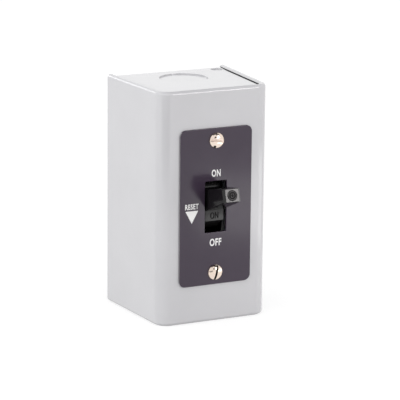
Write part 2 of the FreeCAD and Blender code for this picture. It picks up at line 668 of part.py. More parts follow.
def housing_rivets():
    """Four rivets that hold strap, housing and rear plate together."""
    rivet = rod(RIVET / 2, RIVET_X, RIVET_Z, (strap_front, rear_back))
    for y, direction in ((strap_front, -1), (rear_back, 1)):
        rivet = rivet.fuse(Part.makeCone(RIVET_HEAD / 2, RIVET_HEAD / 2 - RIVET_TAPER, RIVET_RISE,
                                         V(RIVET_X, y, RIVET_Z), V(0, direction, 0)))
    return above_and_below(left_and_right(rivet.removeSplitter()))


def pad_hole(shank, x, z):
    """Cutter for a screw's hole through a conductor's pad."""
    return rod(shank / 2 + FIT, x, z, (conductor_front - BEYOND, terminal_floor + BEYOND))


def terminal_tongue(low):
    """Wide end of a conductor on a pocket's floor, from low to near the housing's end."""
    high = housing_top - TERMINAL_PLATE_GAP
    return block((terminal_inner, terminal_outer), (conductor_front, terminal_floor), (low, high))


def line_terminal_right():
    """Conductor from the upper right terminal, down the chamber's back, to a fixed contact."""
    shelf = terminal_bottom + TERMINAL_PLATE_GAP / 2 + CONDUCTOR_SHEET
    run = folded([(carrier_front, CONTACT_LEVEL - CONDUCTOR_SHEET),
                  (conductor_back, CONTACT_LEVEL - CONDUCTOR_SHEET),
                  (conductor_back, shelf), (terminal_floor, shelf), (terminal_floor, terminal_z)],
                 CONDUCTOR_BEND, CONDUCTOR_SHEET,
                 (line_x - CONDUCTOR_WIDTH / 2, line_x + CONDUCTOR_WIDTH / 2))
    whole = run.fuse(terminal_tongue(shelf + CONDUCTOR_BEND)).removeSplitter()
    return whole.cut(pad_hole(SMALL_SHANK, terminal_x, terminal_z))


def line_terminal_left():
    """The same conductor at the left."""
    return mirrored(line_terminal_right(), V(1, 0, 0))


def load_terminal_right():
    """Conductor from the lower right terminal, up the chamber's back, to a fixed contact."""
    shelf = terminal_bottom + TERMINAL_PLATE_GAP / 2 + CONDUCTOR_SHEET
    run = folded([(carrier_front, CONTACT_LEVEL), (conductor_back, CONTACT_LEVEL),
                  (conductor_back, -shelf), (terminal_floor, -shelf), (terminal_floor, -terminal_z)],
                 CONDUCTOR_BEND, -CONDUCTOR_SHEET,
                 (load_x - CONDUCTOR_WIDTH / 2, load_x + CONDUCTOR_WIDTH / 2))
    tongue = mirrored(terminal_tongue(shelf + CONDUCTOR_BEND), V(0, 0, 1))
    return run.fuse(tongue).removeSplitter().cut(pad_hole(SMALL_SHANK, terminal_x, -terminal_z))


def load_terminal_left():
    """Flat conductor from the lower left terminal to the heater's lower pad."""
    shelf = -terminal_bottom - TERMINAL_PLATE_GAP / 2
    low = TERMINAL_PLATE_GAP - housing_top
    pad_top = HEATER_SCREW_LOWER + HEATER_TAB / 2
    neck = (trip_x - CONDUCTOR_WIDTH / 2, trip_x + CONDUCTOR_WIDTH / 2)
    outline = [(-terminal_outer, low), (-terminal_inner, low), (-terminal_inner, shelf), (neck[1], shelf),
               (neck[1], pad_top), (neck[0], pad_top), (neck[0], shelf), (-terminal_outer, shelf)]
    plate = polygon_face([V(x, conductor_front, z) for x, z in outline]).extrude(V(0, CONDUCTOR_SHEET, 0))
    return plate.cut([pad_hole(SMALL_SHANK, -terminal_x, -terminal_z),
                      pad_hole(HEATER_SHANK, trip_x, HEATER_SCREW_LOWER)])


def heater_link():
    """Conductor from the left pole's fixed contact, forward to the heater's upper pad."""
    pad_top = HEATER_SCREW_UPPER + HEATER_TAB / 2
    level = CONTACT_LEVEL - CONDUCTOR_SHEET
    link = folded([(conductor_back, level), (conductor_front, level), (conductor_front, pad_top)],
                  CONDUCTOR_BEND, -CONDUCTOR_SHEET,
                  (trip_x - CONDUCTOR_WIDTH / 2, trip_x + CONDUCTOR_WIDTH / 2))
    return link.cut(pad_hole(HEATER_SHANK, trip_x, HEATER_SCREW_UPPER))


def terminal_clamps():
    """Square saddle washers under the terminal screws."""
    half = CLAMP_SIZE / 2
    seat = (conductor_front - CLAMP_SHEET, conductor_front)
    clamp = block((terminal_x - half, terminal_x + half), seat, (terminal_z - half, terminal_z + half))
    clamp = clamp.makeFillet(CLAMP_CORNER, [e for e in clamp.Edges if runs_along(e, V(0, 1, 0))])
    hole = rod(SMALL_SHANK / 2 + FIT, terminal_x, terminal_z, (seat[0] - BEYOND, seat[1] + BEYOND))
    return above_and_below(left_and_right(clamp.cut(hole)))


def terminal_screws():
    """Four wire screws, one on each saddle washer."""
    one = screw(TERMINAL_SCREW_HEAD, TERMINAL_SCREW_RISE, SMALL_SHANK, TERMINAL_SCREW_LENGTH,
                terminal_x, terminal_z, conductor_front - CLAMP_SHEET)
    return above_and_below(left_and_right(one))


def contact_buttons(bottom, rise):
    """Round contacts of one level, over the ends of both bridges."""
    buttons = [Part.makeCylinder(CONTACT / 2, rise, V(x, contact_y, bottom)) for x in (line_x, load_x)]
    return left_and_right(Part.makeCompound(buttons))


def fixed_contacts():
    """The four contacts on the conductors."""
    return contact_buttons(CONTACT_LEVEL, FIXED_CONTACT_RISE)


def moving_contacts():
    """The four contacts under the bridges."""
    return contact_buttons(bridge_bottom - MOVING_CONTACT_RISE, MOVING_CONTACT_RISE)


def contact_bridges():
    """One bridge for each pole, under the carrier."""
    half = CONDUCTOR_WIDTH / 2
    bridge = block((line_x - half, load_x + half), (contact_y - half, contact_y + half),
                   (bridge_bottom, carrier_bottom))
    bridge = bridge.makeFillet(half / 2, [e for e in bridge.Edges if runs_along(e, V(0, 0, 1))])
    return left_and_right(bridge)


def contact_springs():
    """Springs in the carrier's pockets that press the bridges down."""
    spring = round_spring(CONTACT_SPRING, SPRING_WIRE, CONTACT_SPRING_TURNS, CONTACT_SPRING_LENGTH)
    spring.translate(V((line_x + load_x) / 2, contact_y, carrier_bottom))
    return left_and_right(spring)


def contact_carrier():
    """Moulded bar across both poles, with a fork that the handle's tail moves up and down."""
    half = chamber_half - CARRIER_SIDE_GAP
    top = carrier_bottom + CARRIER_HEIGHT
    bar = block((-half, half), (carrier_front, carrier_back), (carrier_bottom, top))
    upper_edges = [e for e in bar.Edges if runs_along(e, V(1, 0, 0)) and e.CenterOfMass.z > top - 1e-6]
    bar = bar.makeFillet(CARRIER_EDGE, upper_edges)
    tip_y = pivot_y + TAIL_LENGTH - TAIL_BALL / 2 - FORK_SLOT_CLEARANCE
    fork = block((-FORK_WIDTH / 2, FORK_WIDTH / 2), (tip_y, carrier_back),
                 (carrier_bottom, carrier_bottom + FORK_HEIGHT))
    slot_radius = TAIL_BALL / 2 + FORK_SLOT_CLEARANCE
    slot_end = pivot_y + TAIL_LENGTH + FORK_SLOT_CLEARANCE
    slot = block((-FORK_WIDTH, FORK_WIDTH), (tip_y - BEYOND, slot_end),
                 (-tail_drop - slot_radius, -tail_drop + slot_radius))
    slot = slot.fuse(cross_rod(slot_radius, slot_end, -tail_drop, FORK_WIDTH))
    spring_hole = Part.makeCylinder(CONTACT_SPRING / 2 + CARRIER_SIDE_GAP, CONTACT_SPRING_LENGTH,
                                    V((line_x + load_x) / 2, contact_y, carrier_bottom))
    return bar.fuse(fork).removeSplitter().cut([slot, left_and_right(spring_hole)])


def opening_spring():
    """Spring between the chamber's floor and the carrier, which throws the contacts open."""
    spring = round_spring(OPENING_SPRING, SPRING_WIRE, OPENING_SPRING_TURNS,
                          carrier_bottom + chamber_top)
    spring.translate(V(0, contact_y, -chamber_top))
    return spring


def heater_element():
    """Heater: a strip wound round the solder pot, with a lead and a screw tab at each end."""
    radius = COIL_DIAMETER / 2
    half_strip = COIL_STRIP / 2
    half_sheet = COIL_STRIP_SHEET / 2
    corners = [V(radius - half_sheet, 0, -half_strip), V(radius + half_sheet, 0, -half_strip),
               V(radius + half_sheet, 0, half_strip), V(radius - half_sheet, 0, half_strip)]
    winding = coil(radius, COIL_PITCH, COIL_TURNS, Part.makePolygon(corners + corners[:1]))
    winding.rotate(V(0, 0, 0), V(0, 0, 1), 90)
    winding.rotate(V(0, 0, 0), V(1, 0, 0), -90)
    winding.translate(V(trip_x, heater_middle, POT_Z))
    tab = HEATER_TAB / 2
    lead_top = POT_Z - radius + half_sheet
    lead_x = trip_x - radius
    side = (trip_x - tab, trip_x + tab)
    sheet = (heater_front, heater_back)
    upper_tab = block(side, sheet, (HEATER_SCREW_UPPER - tab, HEATER_SCREW_UPPER + tab))
    upper_lead = block((trip_x - half_strip, trip_x + half_strip), sheet, (HEATER_SCREW_UPPER, lead_top))
    lower_tab = block((lead_x - half_sheet, side[1]), sheet,
                      (HEATER_SCREW_LOWER - tab, HEATER_SCREW_LOWER + tab))
    far_y = heater_middle + COIL_PITCH * COIL_TURNS + half_strip
    lead = folded([(far_y, POT_Z), (far_y, HEATER_SCREW_LOWER), (heater_front, HEATER_SCREW_LOWER)],
                  LEAD_BEND, -COIL_STRIP, (lead_x - half_sheet, lead_x + half_sheet))
    holes = [rod(HEATER_SHANK / 2 + FIT, trip_x, z, (heater_front - BEYOND, heater_back + BEYOND))
             for z in (HEATER_SCREW_UPPER, HEATER_SCREW_LOWER)]
    return winding.fuse([upper_tab, upper_lead, lower_tab, lead]).cut(holes)


def heater_screws():
    """The two screws that hold the heater to its pads."""
    return Part.makeCompound([screw(HEATER_SCREW_HEAD, HEATER_SCREW_RISE, HEATER_SHANK, HEATER_SCREW_LENGTH,
                                    trip_x, z, heater_front)
                              for z in (HEATER_SCREW_UPPER, HEATER_SCREW_LOWER)])


def solder_pot():
    """Tube on the pocket's floor whose solder holds the ratchet wheel's shaft."""
    pot = rod(POT_DIAMETER / 2, trip_x, POT_Z, (pot_front, trip_floor))
    shaft_end = wheel_back + SHAFT_LENGTH + FIT
    return pot.cut(rod(SHAFT_DIAMETER / 2 + PIN_CLEARANCE, trip_x, POT_Z, (pot_front - BEYOND, shaft_end)))


def ratchet_wheel():
    """Ratchet wheel with sloped teeth, on a shaft that reaches into the solder pot."""
    pitch = 360.0 / WHEEL_TEETH
    first = 90.0 - PAWL_SEAT_ANGLE
    outline = []
    for tooth in range(WHEEL_TEETH):
        start = first + tooth * pitch
        for radius, turn in ((WHEEL_ROOT / 2, 0.0), (WHEEL_DIAMETER / 2, 0.0),
                             (WHEEL_DIAMETER / 2, TOOTH_TIP_ANGLE), (WHEEL_ROOT / 2, TOOTH_BACK_ANGLE)):
            angle = math.radians(start + turn)
            outline.append(V(trip_x + radius * math.cos(angle), wheel_front,
                             POT_Z + radius * math.sin(angle)))
    wheel = polygon_face(outline).extrude(V(0, WHEEL_SHEET, 0))
    shaft = rod(SHAFT_DIAMETER / 2, trip_x, POT_Z, (wheel_front - WHEEL_GAP, wheel_back + SHAFT_LENGTH))
    return wheel.fuse(shaft).removeSplitter()


def trip_pawl():
    """Pawl on its pin above the wheel, with its tip between two teeth."""
    root = PAWL_ROOT / 2
    tip = PAWL_TIP / 2
    finger = [(-root, 0), (root, 0), (tip, -PAWL_REACH), (-tip, -PAWL_REACH)]
    pawl = polygon_face([V(trip_x + x, wheel_back - PAWL_SHEET, pawl_z + z) for x, z in finger])
    pawl = pawl.extrude(V(0, PAWL_SHEET, 0))
    span = (wheel_back - PAWL_SHEET, wheel_back)
    pawl = pawl.fuse(rod(PAWL_HUB / 2, trip_x, pawl_z, span)).removeSplitter()
    return pawl.cut(rod(PAWL_PIN / 2 + PIN_CLEARANCE, trip_x, pawl_z, (span[0] - BEYOND, span[1] + BEYOND)))


def pawl_pin():
    """Pin in the pocket's floor that the pawl turns on."""
    return rod(PAWL_PIN / 2, trip_x, pawl_z, (wheel_front, trip_floor + PAWL_PIN_SEAT))


def pawl_spring():
    """Leaf spring from the pocket's upper wall down to the pawl's right side."""
    lean = PAWL_ROOT / 2 + PAWL_SPRING_GAP
    face_x = trip_x + PAWL_HUB / 2 + PAWL_SPRING_GAP
    points = [V(face_x, wheel_back - PAWL_SPRING_WIDTH, TRIP_POCKET_TOP),
              V(face_x, wheel_back - PAWL_SPRING_WIDTH, pawl_z - PAWL_SPRING_DROP / 2),
              V(trip_x + lean, wheel_back - PAWL_SPRING_WIDTH, pawl_z - PAWL_SPRING_DROP)]
    return bent_sheet(points, PAWL_SPRING_BEND, -PAWL_SPRING_SHEET, V(0, PAWL_SPRING_WIDTH, 0))


PIECES = [
    cover_shell, nameplate, cover_screws, base_box, ground_screw, strap_brackets, strap_screws,
    mounting_strap, toggle_handle, handle_pin, switch_housing, rear_insulator, housing_rivets,
    line_terminal_left, line_terminal_right, load_terminal_left, load_terminal_right, heater_link,
    terminal_clamps, terminal_screws, fixed_contacts, moving_contacts, contact_bridges, contact_springs,
    contact_carrier, opening_spring, heater_element, heater_screws, solder_pot, ratchet_wheel, trip_pawl,
    pawl_pin, pawl_spring,
]

os.makedirs("parts", exist_ok=True)
for piece in PIECES:
    piece().exportStep("parts/" + piece.__name__ + ".step")
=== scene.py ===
"""Manual motor starter, dressed: enamelled cover, printed plate, toggle handle and the works.

Metres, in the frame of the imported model: +X is right, +Z up, the wall is at Y = 0 and the front
faces -Y. Sizes in the classes are millimetres, and MM turns them into metres.
"""
from __future__ import annotations

import logging
import math
from dataclasses import dataclass
from enum import Enum

import bmesh
import bpy
from mathutils import Matrix, Quaternion, Vector


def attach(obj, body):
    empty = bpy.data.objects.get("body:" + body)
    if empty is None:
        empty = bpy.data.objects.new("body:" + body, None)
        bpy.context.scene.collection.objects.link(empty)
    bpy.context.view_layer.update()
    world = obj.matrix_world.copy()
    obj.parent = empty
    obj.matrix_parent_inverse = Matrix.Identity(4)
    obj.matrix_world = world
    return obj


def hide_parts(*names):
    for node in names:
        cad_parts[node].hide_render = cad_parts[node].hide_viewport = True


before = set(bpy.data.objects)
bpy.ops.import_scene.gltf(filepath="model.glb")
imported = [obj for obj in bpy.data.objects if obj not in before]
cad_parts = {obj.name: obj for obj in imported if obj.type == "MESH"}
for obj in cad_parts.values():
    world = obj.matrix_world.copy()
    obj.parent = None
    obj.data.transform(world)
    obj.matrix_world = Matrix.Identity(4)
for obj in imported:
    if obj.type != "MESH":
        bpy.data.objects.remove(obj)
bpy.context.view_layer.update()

LOG = logging.getLogger("starter")
MM = 0.001

FULL_TURN = 2 * math.pi
QUARTER_TURN = math.pi / 2
SMOOTH_ANGLE = math.radians(32.0)
MERGE_DISTANCE = 1e-7
LATHE_STEPS = 48
HOLE_STEPS = 40
BOTH_SIDES = (-0.5, 0.5)  # shares of a spacing, from its middle
NOISE_MIDDLE = (0.3, 0.7)  # the values between which most of a noise lies
LETTER_SPACING = 1.12

# Attributes: faces with the second finish, points of a sheared end, and the turn of a slot.
MARKED = "marked"
SHEARED_END = "sheared"
SLOT_TURN = "turn"

Colour = tuple[float, float, float]
Pair = tuple[float, float]
Point = tuple[float, float, float]
Wires = dict[str | int, object]
Material = bpy.types.Material
Mesh = bpy.types.Mesh
Node = bpy.types.Node
Socket = bpy.types.NodeSocket


class Grain(Enum):
    """Direction of the fine streaks in a finish, as the stretch of its noise along X, Y and Z."""

    EVEN = (1.0, 1.0, 1.0)
    ALONG_X = (0.05, 1.0, 1.0)
    ALONG_Y = (1.0, 0.05, 1.0)
    ALONG_Z = (1.0, 1.0, 0.05)


class NodeKit:
    """A node tree, with short calls that add and feed its nodes."""

    def __init__(self, tree: bpy.types.NodeTree) -> None:
        """Takes a tree and empties it."""
        self.tree = tree
        self.tree.nodes.clear()

    def wire(self, target: Socket, value: object) -> None:
        """Feeds an input: links a socket to it, or sets any other value on it.

        Args:
            target: The input.
            value: The socket or the value.
        """
        if isinstance(value, Socket):
            self.tree.links.new(value, target)
        else:
            target.default_value = value

    def node(self, kind: str, wires: Wires | None = None, **settings: object) -> Node:
        """Adds a node.

        Args:
            kind: The node's type.
            wires: What feeds its inputs, by their names or numbers.
            **settings: Values of the node's own properties.

        Returns:
            The node.
        """
        made = self.tree.nodes.new(kind)
        for key, value in settings.items():
            setattr(made, key, value)
        for key, value in (wires or {}).items():
            self.wire(made.inputs[key], value)
        return made

    def step(self, kind: str, result: str, wires: Wires | None = None,
             **settings: object) -> Socket:
        """Adds a node as node() does, and gives its output of the name in result."""
        return self.node(kind, wires, **settings).outputs[result]


class Bench(NodeKit):
    """One material's node tree, with the nodes that the finishes share."""

    def __init__(self, name: str) -> None:
        """Starts a material that has a Principled shader and reads Object coordinates.

        Args:
            name: The material's name.
        """
        self.material = bpy.data.materials.new(name)
        self.material.use_nodes = True
        super().__init__(self.material.node_tree)
        self.shader = self.node("ShaderNodeBsdfPrincipled")
        self.node("ShaderNodeOutputMaterial", {"Surface": self.shader.outputs["BSDF"]})
        self.place = self.step("ShaderNodeTexCoord", "Object")
        self.relief: Socket | None = None

    def noise(self, scale: float, detail: float = 3.0, grain: Grain = Grain.EVEN) -> Socket:
        """Adds a noise over the piece.

        Args:
            scale: Features per metre, roughly.
            detail: Octaves of finer noise.
            grain: Direction that the noise is drawn out along.

        Returns:
            The noise's factor.
        """
        drawn = self.step("ShaderNodeMapping", "Vector", {
            "Vector": self.place, "Scale": grain.value})
        return self.step("ShaderNodeTexNoise", "Fac", {
            "Vector": drawn, "Scale": scale, "Detail": detail})

    def blend(self, factor: Socket, low: Colour, high: Colour) -> Socket:
        """Adds a colour that runs from low to high over the middle of a noise.

        Args:
            factor: The noise.
            low: Linear colour where the noise is low.
            high: Linear colour where the noise is high.

        Returns:
            The mixed colour.
        """
        ramp = self.node("ShaderNodeValToRGB", {"Fac": factor})
        for stop, position, colour in zip(ramp.color_ramp.elements, NOISE_MIDDLE, (low, high)):
            stop.position = position
            stop.color = (*colour, 1.0)
        return ramp.outputs["Color"]

    def span(self, factor: Socket, ends: Pair, limits: Pair = NOISE_MIDDLE) -> Socket:
        """Adds a value that runs between two ends while a factor runs between two limits.

        Args:
            factor: The noise or other value.
            ends: The values at the limits.
            limits: The limits, over the middle of a noise if not given.

        Returns:
            The value.
        """
        return self.step("ShaderNodeMapRange", "Result", {
            "Value": factor, "From Min": limits[0], "From Max": limits[1],
            "To Min": ends[0], "To Max": ends[1]})

    def emboss(self, height: Socket, depth: float) -> None:
        """Adds relief to the surface, over any relief that it already has.

        Args:
            height: The noise that is the relief.
            depth: The relief's depth in metres.
        """
        wires: Wires = {"Height": height, "Strength": 1.0, "Distance": depth}
        if self.relief is not None:
            wires["Normal"] = self.relief
        self.relief = self.step("ShaderNodeBump", "Normal", wires)
        self.feed("Normal", self.relief)

    def feed(self, name: str, value: object) -> None:
        """Feeds the shader's input of a name with a socket or a value."""
        self.wire(self.shader.inputs[name], value)


@dataclass(frozen=True)
class Paint:
    """Sprayed and baked paint: a faint drift of shade and the fine waves of its flow."""

    name: str
    shade: Colour
    drift: Colour
    roughness: Pair
    wave: float
    fleck: float
    gloss: float = 0.5
    drift_scale: float = 42.0
    sheen_scale: float = 160.0
    wave_scale: float = 420.0
    fleck_scale: float = 2600.0

    def make(self) -> Material:
        """Builds the paint.

        Returns:
            The material.
        """
        bench = Bench(self.name)
        drift = bench.noise(self.drift_scale, detail=5.0)
        bench.feed("Base Color", bench.blend(drift, self.shade, self.drift))
        sheen = bench.noise(self.sheen_scale, detail=4.0)
        bench.feed("Roughness", bench.span(sheen, self.roughness))
        bench.emboss(bench.noise(self.wave_scale, detail=2.0), self.wave)
        bench.emboss(bench.noise(self.fleck_scale, detail=2.0), self.fleck)
        bench.feed("Specular IOR Level", self.gloss)
        return bench.material


@dataclass(frozen=True)
class Metal:
    """Bare or plated metal: clouded colour, with streaks left by rolling, drawing or turning."""

    name: str
    shade: Colour
    cloud: Colour
    roughness: Pair
    grain: Grain
    streak: float
    cloud_scale: float = 150.0
    sheen_scale: float = 900.0
    streak_scale: float = 1900.0

    def make(self) -> Material:
        """Builds the metal.

        Returns:
            The material.
        """
        bench = Bench(self.name)
        bench.feed("Metallic", 1.0)
        clouds = bench.noise(self.cloud_scale, detail=5.0)
        bench.feed("Base Color", bench.blend(clouds, self.shade, self.cloud))
        sheen = bench.noise(self.sheen_scale, grain=self.grain)
        bench.feed("Roughness", bench.span(sheen, self.roughness))
        bench.emboss(bench.noise(self.streak_scale, grain=self.grain), self.streak)
        return bench.material


@dataclass(frozen=True)
class Moulding:
    """Pressed plastic or fibre: flow marks in the shade and the fine grain of the mould."""

    name: str
    shade: Colour
    flow: Colour
    roughness: Pair
    texture: float
    scale: float
    gloss: float = 0.5
    flow_scale: float = 95.0
    sheen_share: float = 0.4

    def make(self) -> Material:
        """Builds the moulding's finish.

        Returns:
            The material.
        """
        bench = Bench(self.name)
        flow = bench.noise(self.flow_scale, detail=6.0)
        bench.feed("Base Color", bench.blend(flow, self.shade, self.flow))
        sheen = bench.noise(self.scale * self.sheen_share, detail=4.0)
        bench.feed("Roughness", bench.span(sheen, self.roughness))
        bench.emboss(bench.noise(self.scale), self.texture)
        bench.feed("Specular IOR Level", self.gloss)
        return bench.material


@dataclass(frozen=True)
class SlotTone:
    """Colour of a screw's slot: dark low on the part, and paler towards the top of the part.

    The limits are the heights in metres where the slot is darkest and where it is palest.
    """

    name: str
    shade: Colour
    upper_colour: Colour
    roughness: Pair
    limits: Pair
    sheen_scale: float = 900.0

    def make(self) -> Material:
        """Builds the slot's colour.

        Returns:
            The material.
        """
        bench = Bench(self.name)
        bench.feed("Metallic", 1.0)
        height = bench.step("ShaderNodeSeparateXYZ", "Z", {"Vector": bench.place})
        upward = bench.span(height, (0.0, 1.0), self.limits)
        bench.feed("Base Color", bench.blend(upward, self.shade, self.upper_colour))
        sheen = bench.noise(self.sheen_scale, grain=Grain.ALONG_X)
        bench.feed("Roughness", bench.span(sheen, self.roughness))
        return bench.material


Finish = Paint | Metal | Moulding | SlotTone

ENAMEL = Paint("grey_enamel", (0.590, 0.588, 0.606), (0.615, 0.612, 0.631), (0.14, 0.19),
               1.5e-6, 2e-7, 0.8)
PLATE = Paint("plate_paint", (0.0370, 0.0240, 0.0430), (0.0440, 0.0295, 0.0505), (0.15, 0.21),
              1e-6, 3e-7)
INK = Paint("white_ink", (0.88, 0.88, 0.87), (0.93, 0.93, 0.92), (0.45, 0.55), 2e-6, 1e-6)
GREEN_DYE = Metal("green_dye", (0.030, 0.145, 0.050), (0.050, 0.205, 0.075), (0.28, 0.42),
                  Grain.EVEN, 4e-6)
PALE_BRASS = Metal("pale_brass", (0.80, 0.67, 0.57), (0.88, 0.75, 0.66), (0.12, 0.20),
                   Grain.EVEN, 1.5e-6)
SLOT_TONE = SlotTone("slot_tone", (0.040, 0.034, 0.030), (0.62, 0.51, 0.44), (0.35, 0.50),
              (-0.020, 0.030))
# Painted shade: the lips' sheared ends are near black, standing in for the shaded gap under each
# lip.
SHADED_LIP_END = Metal("lip_end_painted_shade", (0.055, 0.055, 0.058), (0.085, 0.085, 0.090), (0.50, 0.65),
                Grain.ALONG_Z, 6e-6)
BRIGHT_RIM = Metal("plate_rim", (0.46, 0.45, 0.46), (0.58, 0.57, 0.58), (0.30, 0.42),
                   Grain.ALONG_Z, 4e-6)
ZINC = Metal("zinc_plate", (0.55, 0.57, 0.60), (0.68, 0.68, 0.66), (0.28, 0.42),
             Grain.ALONG_Z, 5e-6)
COPPER = Metal("copper_strip", (0.60, 0.30, 0.17), (0.72, 0.40, 0.24), (0.24, 0.38),
               Grain.ALONG_Z, 4e-6)
SILVER = Metal("silver_contact", (0.74, 0.73, 0.69), (0.82, 0.81, 0.78), (0.22, 0.36),
               Grain.EVEN, 3e-6)
SPRING = Metal("spring_steel", (0.23, 0.23, 0.24), (0.33, 0.33, 0.35), (0.25, 0.38),
               Grain.ALONG_Y, 3e-6)
HEATER = Metal("heater_alloy", (0.34, 0.27, 0.22), (0.45, 0.39, 0.34), (0.32, 0.46),
               Grain.ALONG_X, 4e-6)
TRIP = Metal("trip_steel", (0.46, 0.45, 0.43), (0.57, 0.56, 0.54), (0.24, 0.36),
             Grain.ALONG_X, 4e-6)
BLACK = Moulding("black_moulding", (0.0030, 0.0028, 0.0032), (0.0055, 0.0050, 0.0056),
                 (0.16, 0.24), 1.5e-6, 2200.0)
DULL_BLACK = Moulding("dull_moulding", (0.0035, 0.0030, 0.0033), (0.0060, 0.0052, 0.0056),
                      (0.50, 0.65), 3e-6, 2600.0, 0.2)
FIBRE = Moulding("fibre_sheet", (0.040, 0.026, 0.019), (0.062, 0.043, 0.032), (0.60, 0.78),
                 9e-6, 1500.0)


class Finishes:
    """The materials, each built once, when it is first asked for."""

    def __init__(self) -> None:
        """Starts with no material built."""
        self.built: dict[str, Material] = {}

    def of(self, finish: Finish) -> Material:
        """Gives the material of a finish.

        Args:
            finish: The finish.

        Returns:
            Its material.
        """
        if finish.name not in self.built:
            self.built[finish.name] = finish.make()
        return self.built[finish.name]


class Shape:
    """Outlines and meshes that the pieces share."""

    @staticmethod
    def arc(radius: float, first: float, last: float, steps: int) -> list[Pair]:
        """Points of an arc round the origin, with both ends, in equal steps from angle to angle."""
        turns = [first + (last - first) * k / steps for k in range(steps + 1)]
        return [(radius * math.cos(t), radius * math.sin(t)) for t in turns]

    @staticmethod
    def circle(radius: float, steps: int) -> list[Pair]:
        """Points of a whole circle round the origin."""
        return Shape.arc(radius, 0.0, FULL_TURN, steps)[:-1]

    @staticmethod
    def rounded(corners: list[Point], steps: int) -> list[Pair]:
        """Outline through corners that are each rounded by their own radius.

        Args:
            corners: Two coordinates and the radius of each corner, in order round the outline.
            steps: Straight steps in each rounded corner.

        Returns:
            The points of the outline.
        """
        outline: list[Pair] = []
        for index, (u, v, radius) in enumerate(corners):
            corner = Vector((u, v))
            before = (Vector(corners[index - 1][:2]) - corner).normalized()
            after = (Vector(corners[(index + 1) % len(corners)][:2]) - corner).normalized()
            half = before.angle(after) / 2
            centre = corner + (before + after).normalized() * (radius / math.sin(half))
            start = (corner + before * (radius / math.tan(half))) - centre
            sweep = start.angle_signed((corner + after * (radius / math.tan(half))) - centre)
            for step in range(steps + 1):
                turned = start.copy()
                turned.rotate(Matrix.Rotation(-sweep * step / steps, 2))
                outline.append(tuple(centre + turned))
        return outline

    @staticmethod
    def oblong(half: Pair, corner: float, steps: int) -> list[Pair]:
        """Rounded oblong round the origin, from half its sides and its corners' radius."""
        signs = ((-1, -1), (1, -1), (1, 1), (-1, 1))
        return Shape.rounded([(u * half[0], v * half[1], corner) for u, v in signs], steps)

    @staticmethod
    def closed(body: bmesh.types.BMesh, mesh: Mesh | None = None) -> Mesh:
        """Ends a bmesh in a mesh, its doubles merged and its faces pointing outwards.

        Args:
            body: The bmesh, which is freed.
            mesh: The mesh that takes it, or none for a new one.

        Returns:
            The mesh.
        """
        mesh = mesh or bpy.data.meshes.new("shape")
        bmesh.ops.remove_doubles(body, verts=body.verts, dist=MERGE_DISTANCE)
        bmesh.ops.recalc_face_normals(body, faces=body.faces)
        body.to_mesh(mesh)
        body.free()
        return mesh

    @staticmethod
    def healed(mesh: Mesh) -> Mesh:
        """A mesh with its doubles merged and its faces pointing outwards, and its finishes kept.

        Args:
            mesh: The mesh, which is changed.

        Returns:
            The mesh.
        """
        body = bmesh.new()
        body.from_mesh(mesh)
        return Shape.closed(body, mesh)

    @staticmethod
    def lathe(profile: list[Pair]) -> Mesh:
        """Turned body round the Y axis.

        Args:
            profile: Radius and Y of each ring in millimetres, from the axis back to the axis or
                from a ring round to the same ring.

        Returns:
            The closed mesh.
        """
        body = bmesh.new()
        rings: list[list[bmesh.types.BMVert]] = []
        for radius, y in profile:
            ring = Shape.circle(radius * MM, LATHE_STEPS) if radius > 0 else [(0.0, 0.0)]
            rings.append([body.verts.new((x, y * MM, z)) for x, z in ring])
        for low, high in zip(rings, rings[1:]):
            for k in range(LATHE_STEPS):
                ends = ((low, k), (low, k + 1), (high, k + 1), (high, k))
                body.faces.new(list(dict.fromkeys(ring[n % len(ring)] for ring, n in ends)))
        return Shape.closed(body)

    @staticmethod
    def prism(outline: list[Pair], axes: tuple[Vector, Vector, Vector], rim: float = 0.0) -> Mesh:
        """Outline run out along an axis, with its two rims bevelled.

        Args:
            outline: Points of the outline.
            axes: The vectors of the outline's two coordinates, and the whole run, whose middle
                is at the origin.
            rim: Width of the bevel at both rims.

        Returns:
            The closed mesh.
        """
        across, up, run = axes
        body = bmesh.new()
        face = body.faces.new([body.verts.new(across * u + up * v - run / 2) for u, v in outline])
        moved = bmesh.ops.extrude_face_region(body, geom=[face])["geom"]
        far = [part for part in moved if isinstance(part, bmesh.types.BMVert)]
        bmesh.ops.translate(body, vec=run, verts=far)
        bmesh.ops.recalc_face_normals(body, faces=body.faces)
        if rim > 0:
            caps = [face for face in body.faces if len(face.verts) == len(outline)]
            edges = list({edge for cap in caps for edge in cap.edges})
            bmesh.ops.bevel(body, geom=edges, offset=rim, segments=2, profile=0.5, affect="EDGES")
        return Shape.closed(body)

    @staticmethod
    def lofted(rings: list[list[Point]]) -> Mesh:
        """Body through rings that have as many points each, closed at both ends.

        Args:
            rings: The rings' points.

        Returns:
            The closed mesh.
        """
        body = bmesh.new()
        rows = [[body.verts.new(point) for point in ring] for ring in rings]
        for low, high in zip(rows, rows[1:]):
            for k in range(len(low)):
                after = (k + 1) % len(low)
                body.faces.new([low[k], low[after], high[after], high[k]])
        body.faces.new(rows[0])
        body.faces.new(rows[-1])
        return Shape.closed(body)

    @staticmethod
    def joined(meshes: list[Mesh]) -> Mesh:
        """Several meshes as one.

        Args:
            meshes: The meshes.

        Returns:
            The whole.
        """
        body = bmesh.new()
        for mesh in meshes:
            body.from_mesh(mesh)
        whole = bpy.data.meshes.new("whole")
        body.to_mesh(whole)
        body.free()
        return whole

    @staticmethod
    def sheet(name: str, size: Pair) -> Mesh:
        """Flat oblong face round the origin that looks along +Z.

        Args:
            name: The mesh's name.
            size: Its sides in metres.

        Returns:
            The mesh.
        """
        x, y = size[0] / 2, size[1] / 2
        corners = [(-x, -y, 0.0), (x, -y, 0.0), (x, y, 0.0), (-x, y, 0.0)]
        mesh = bpy.data.meshes.new(name)
        mesh.from_pydata(corners, [], [(0, 1, 2, 3)])
        return mesh

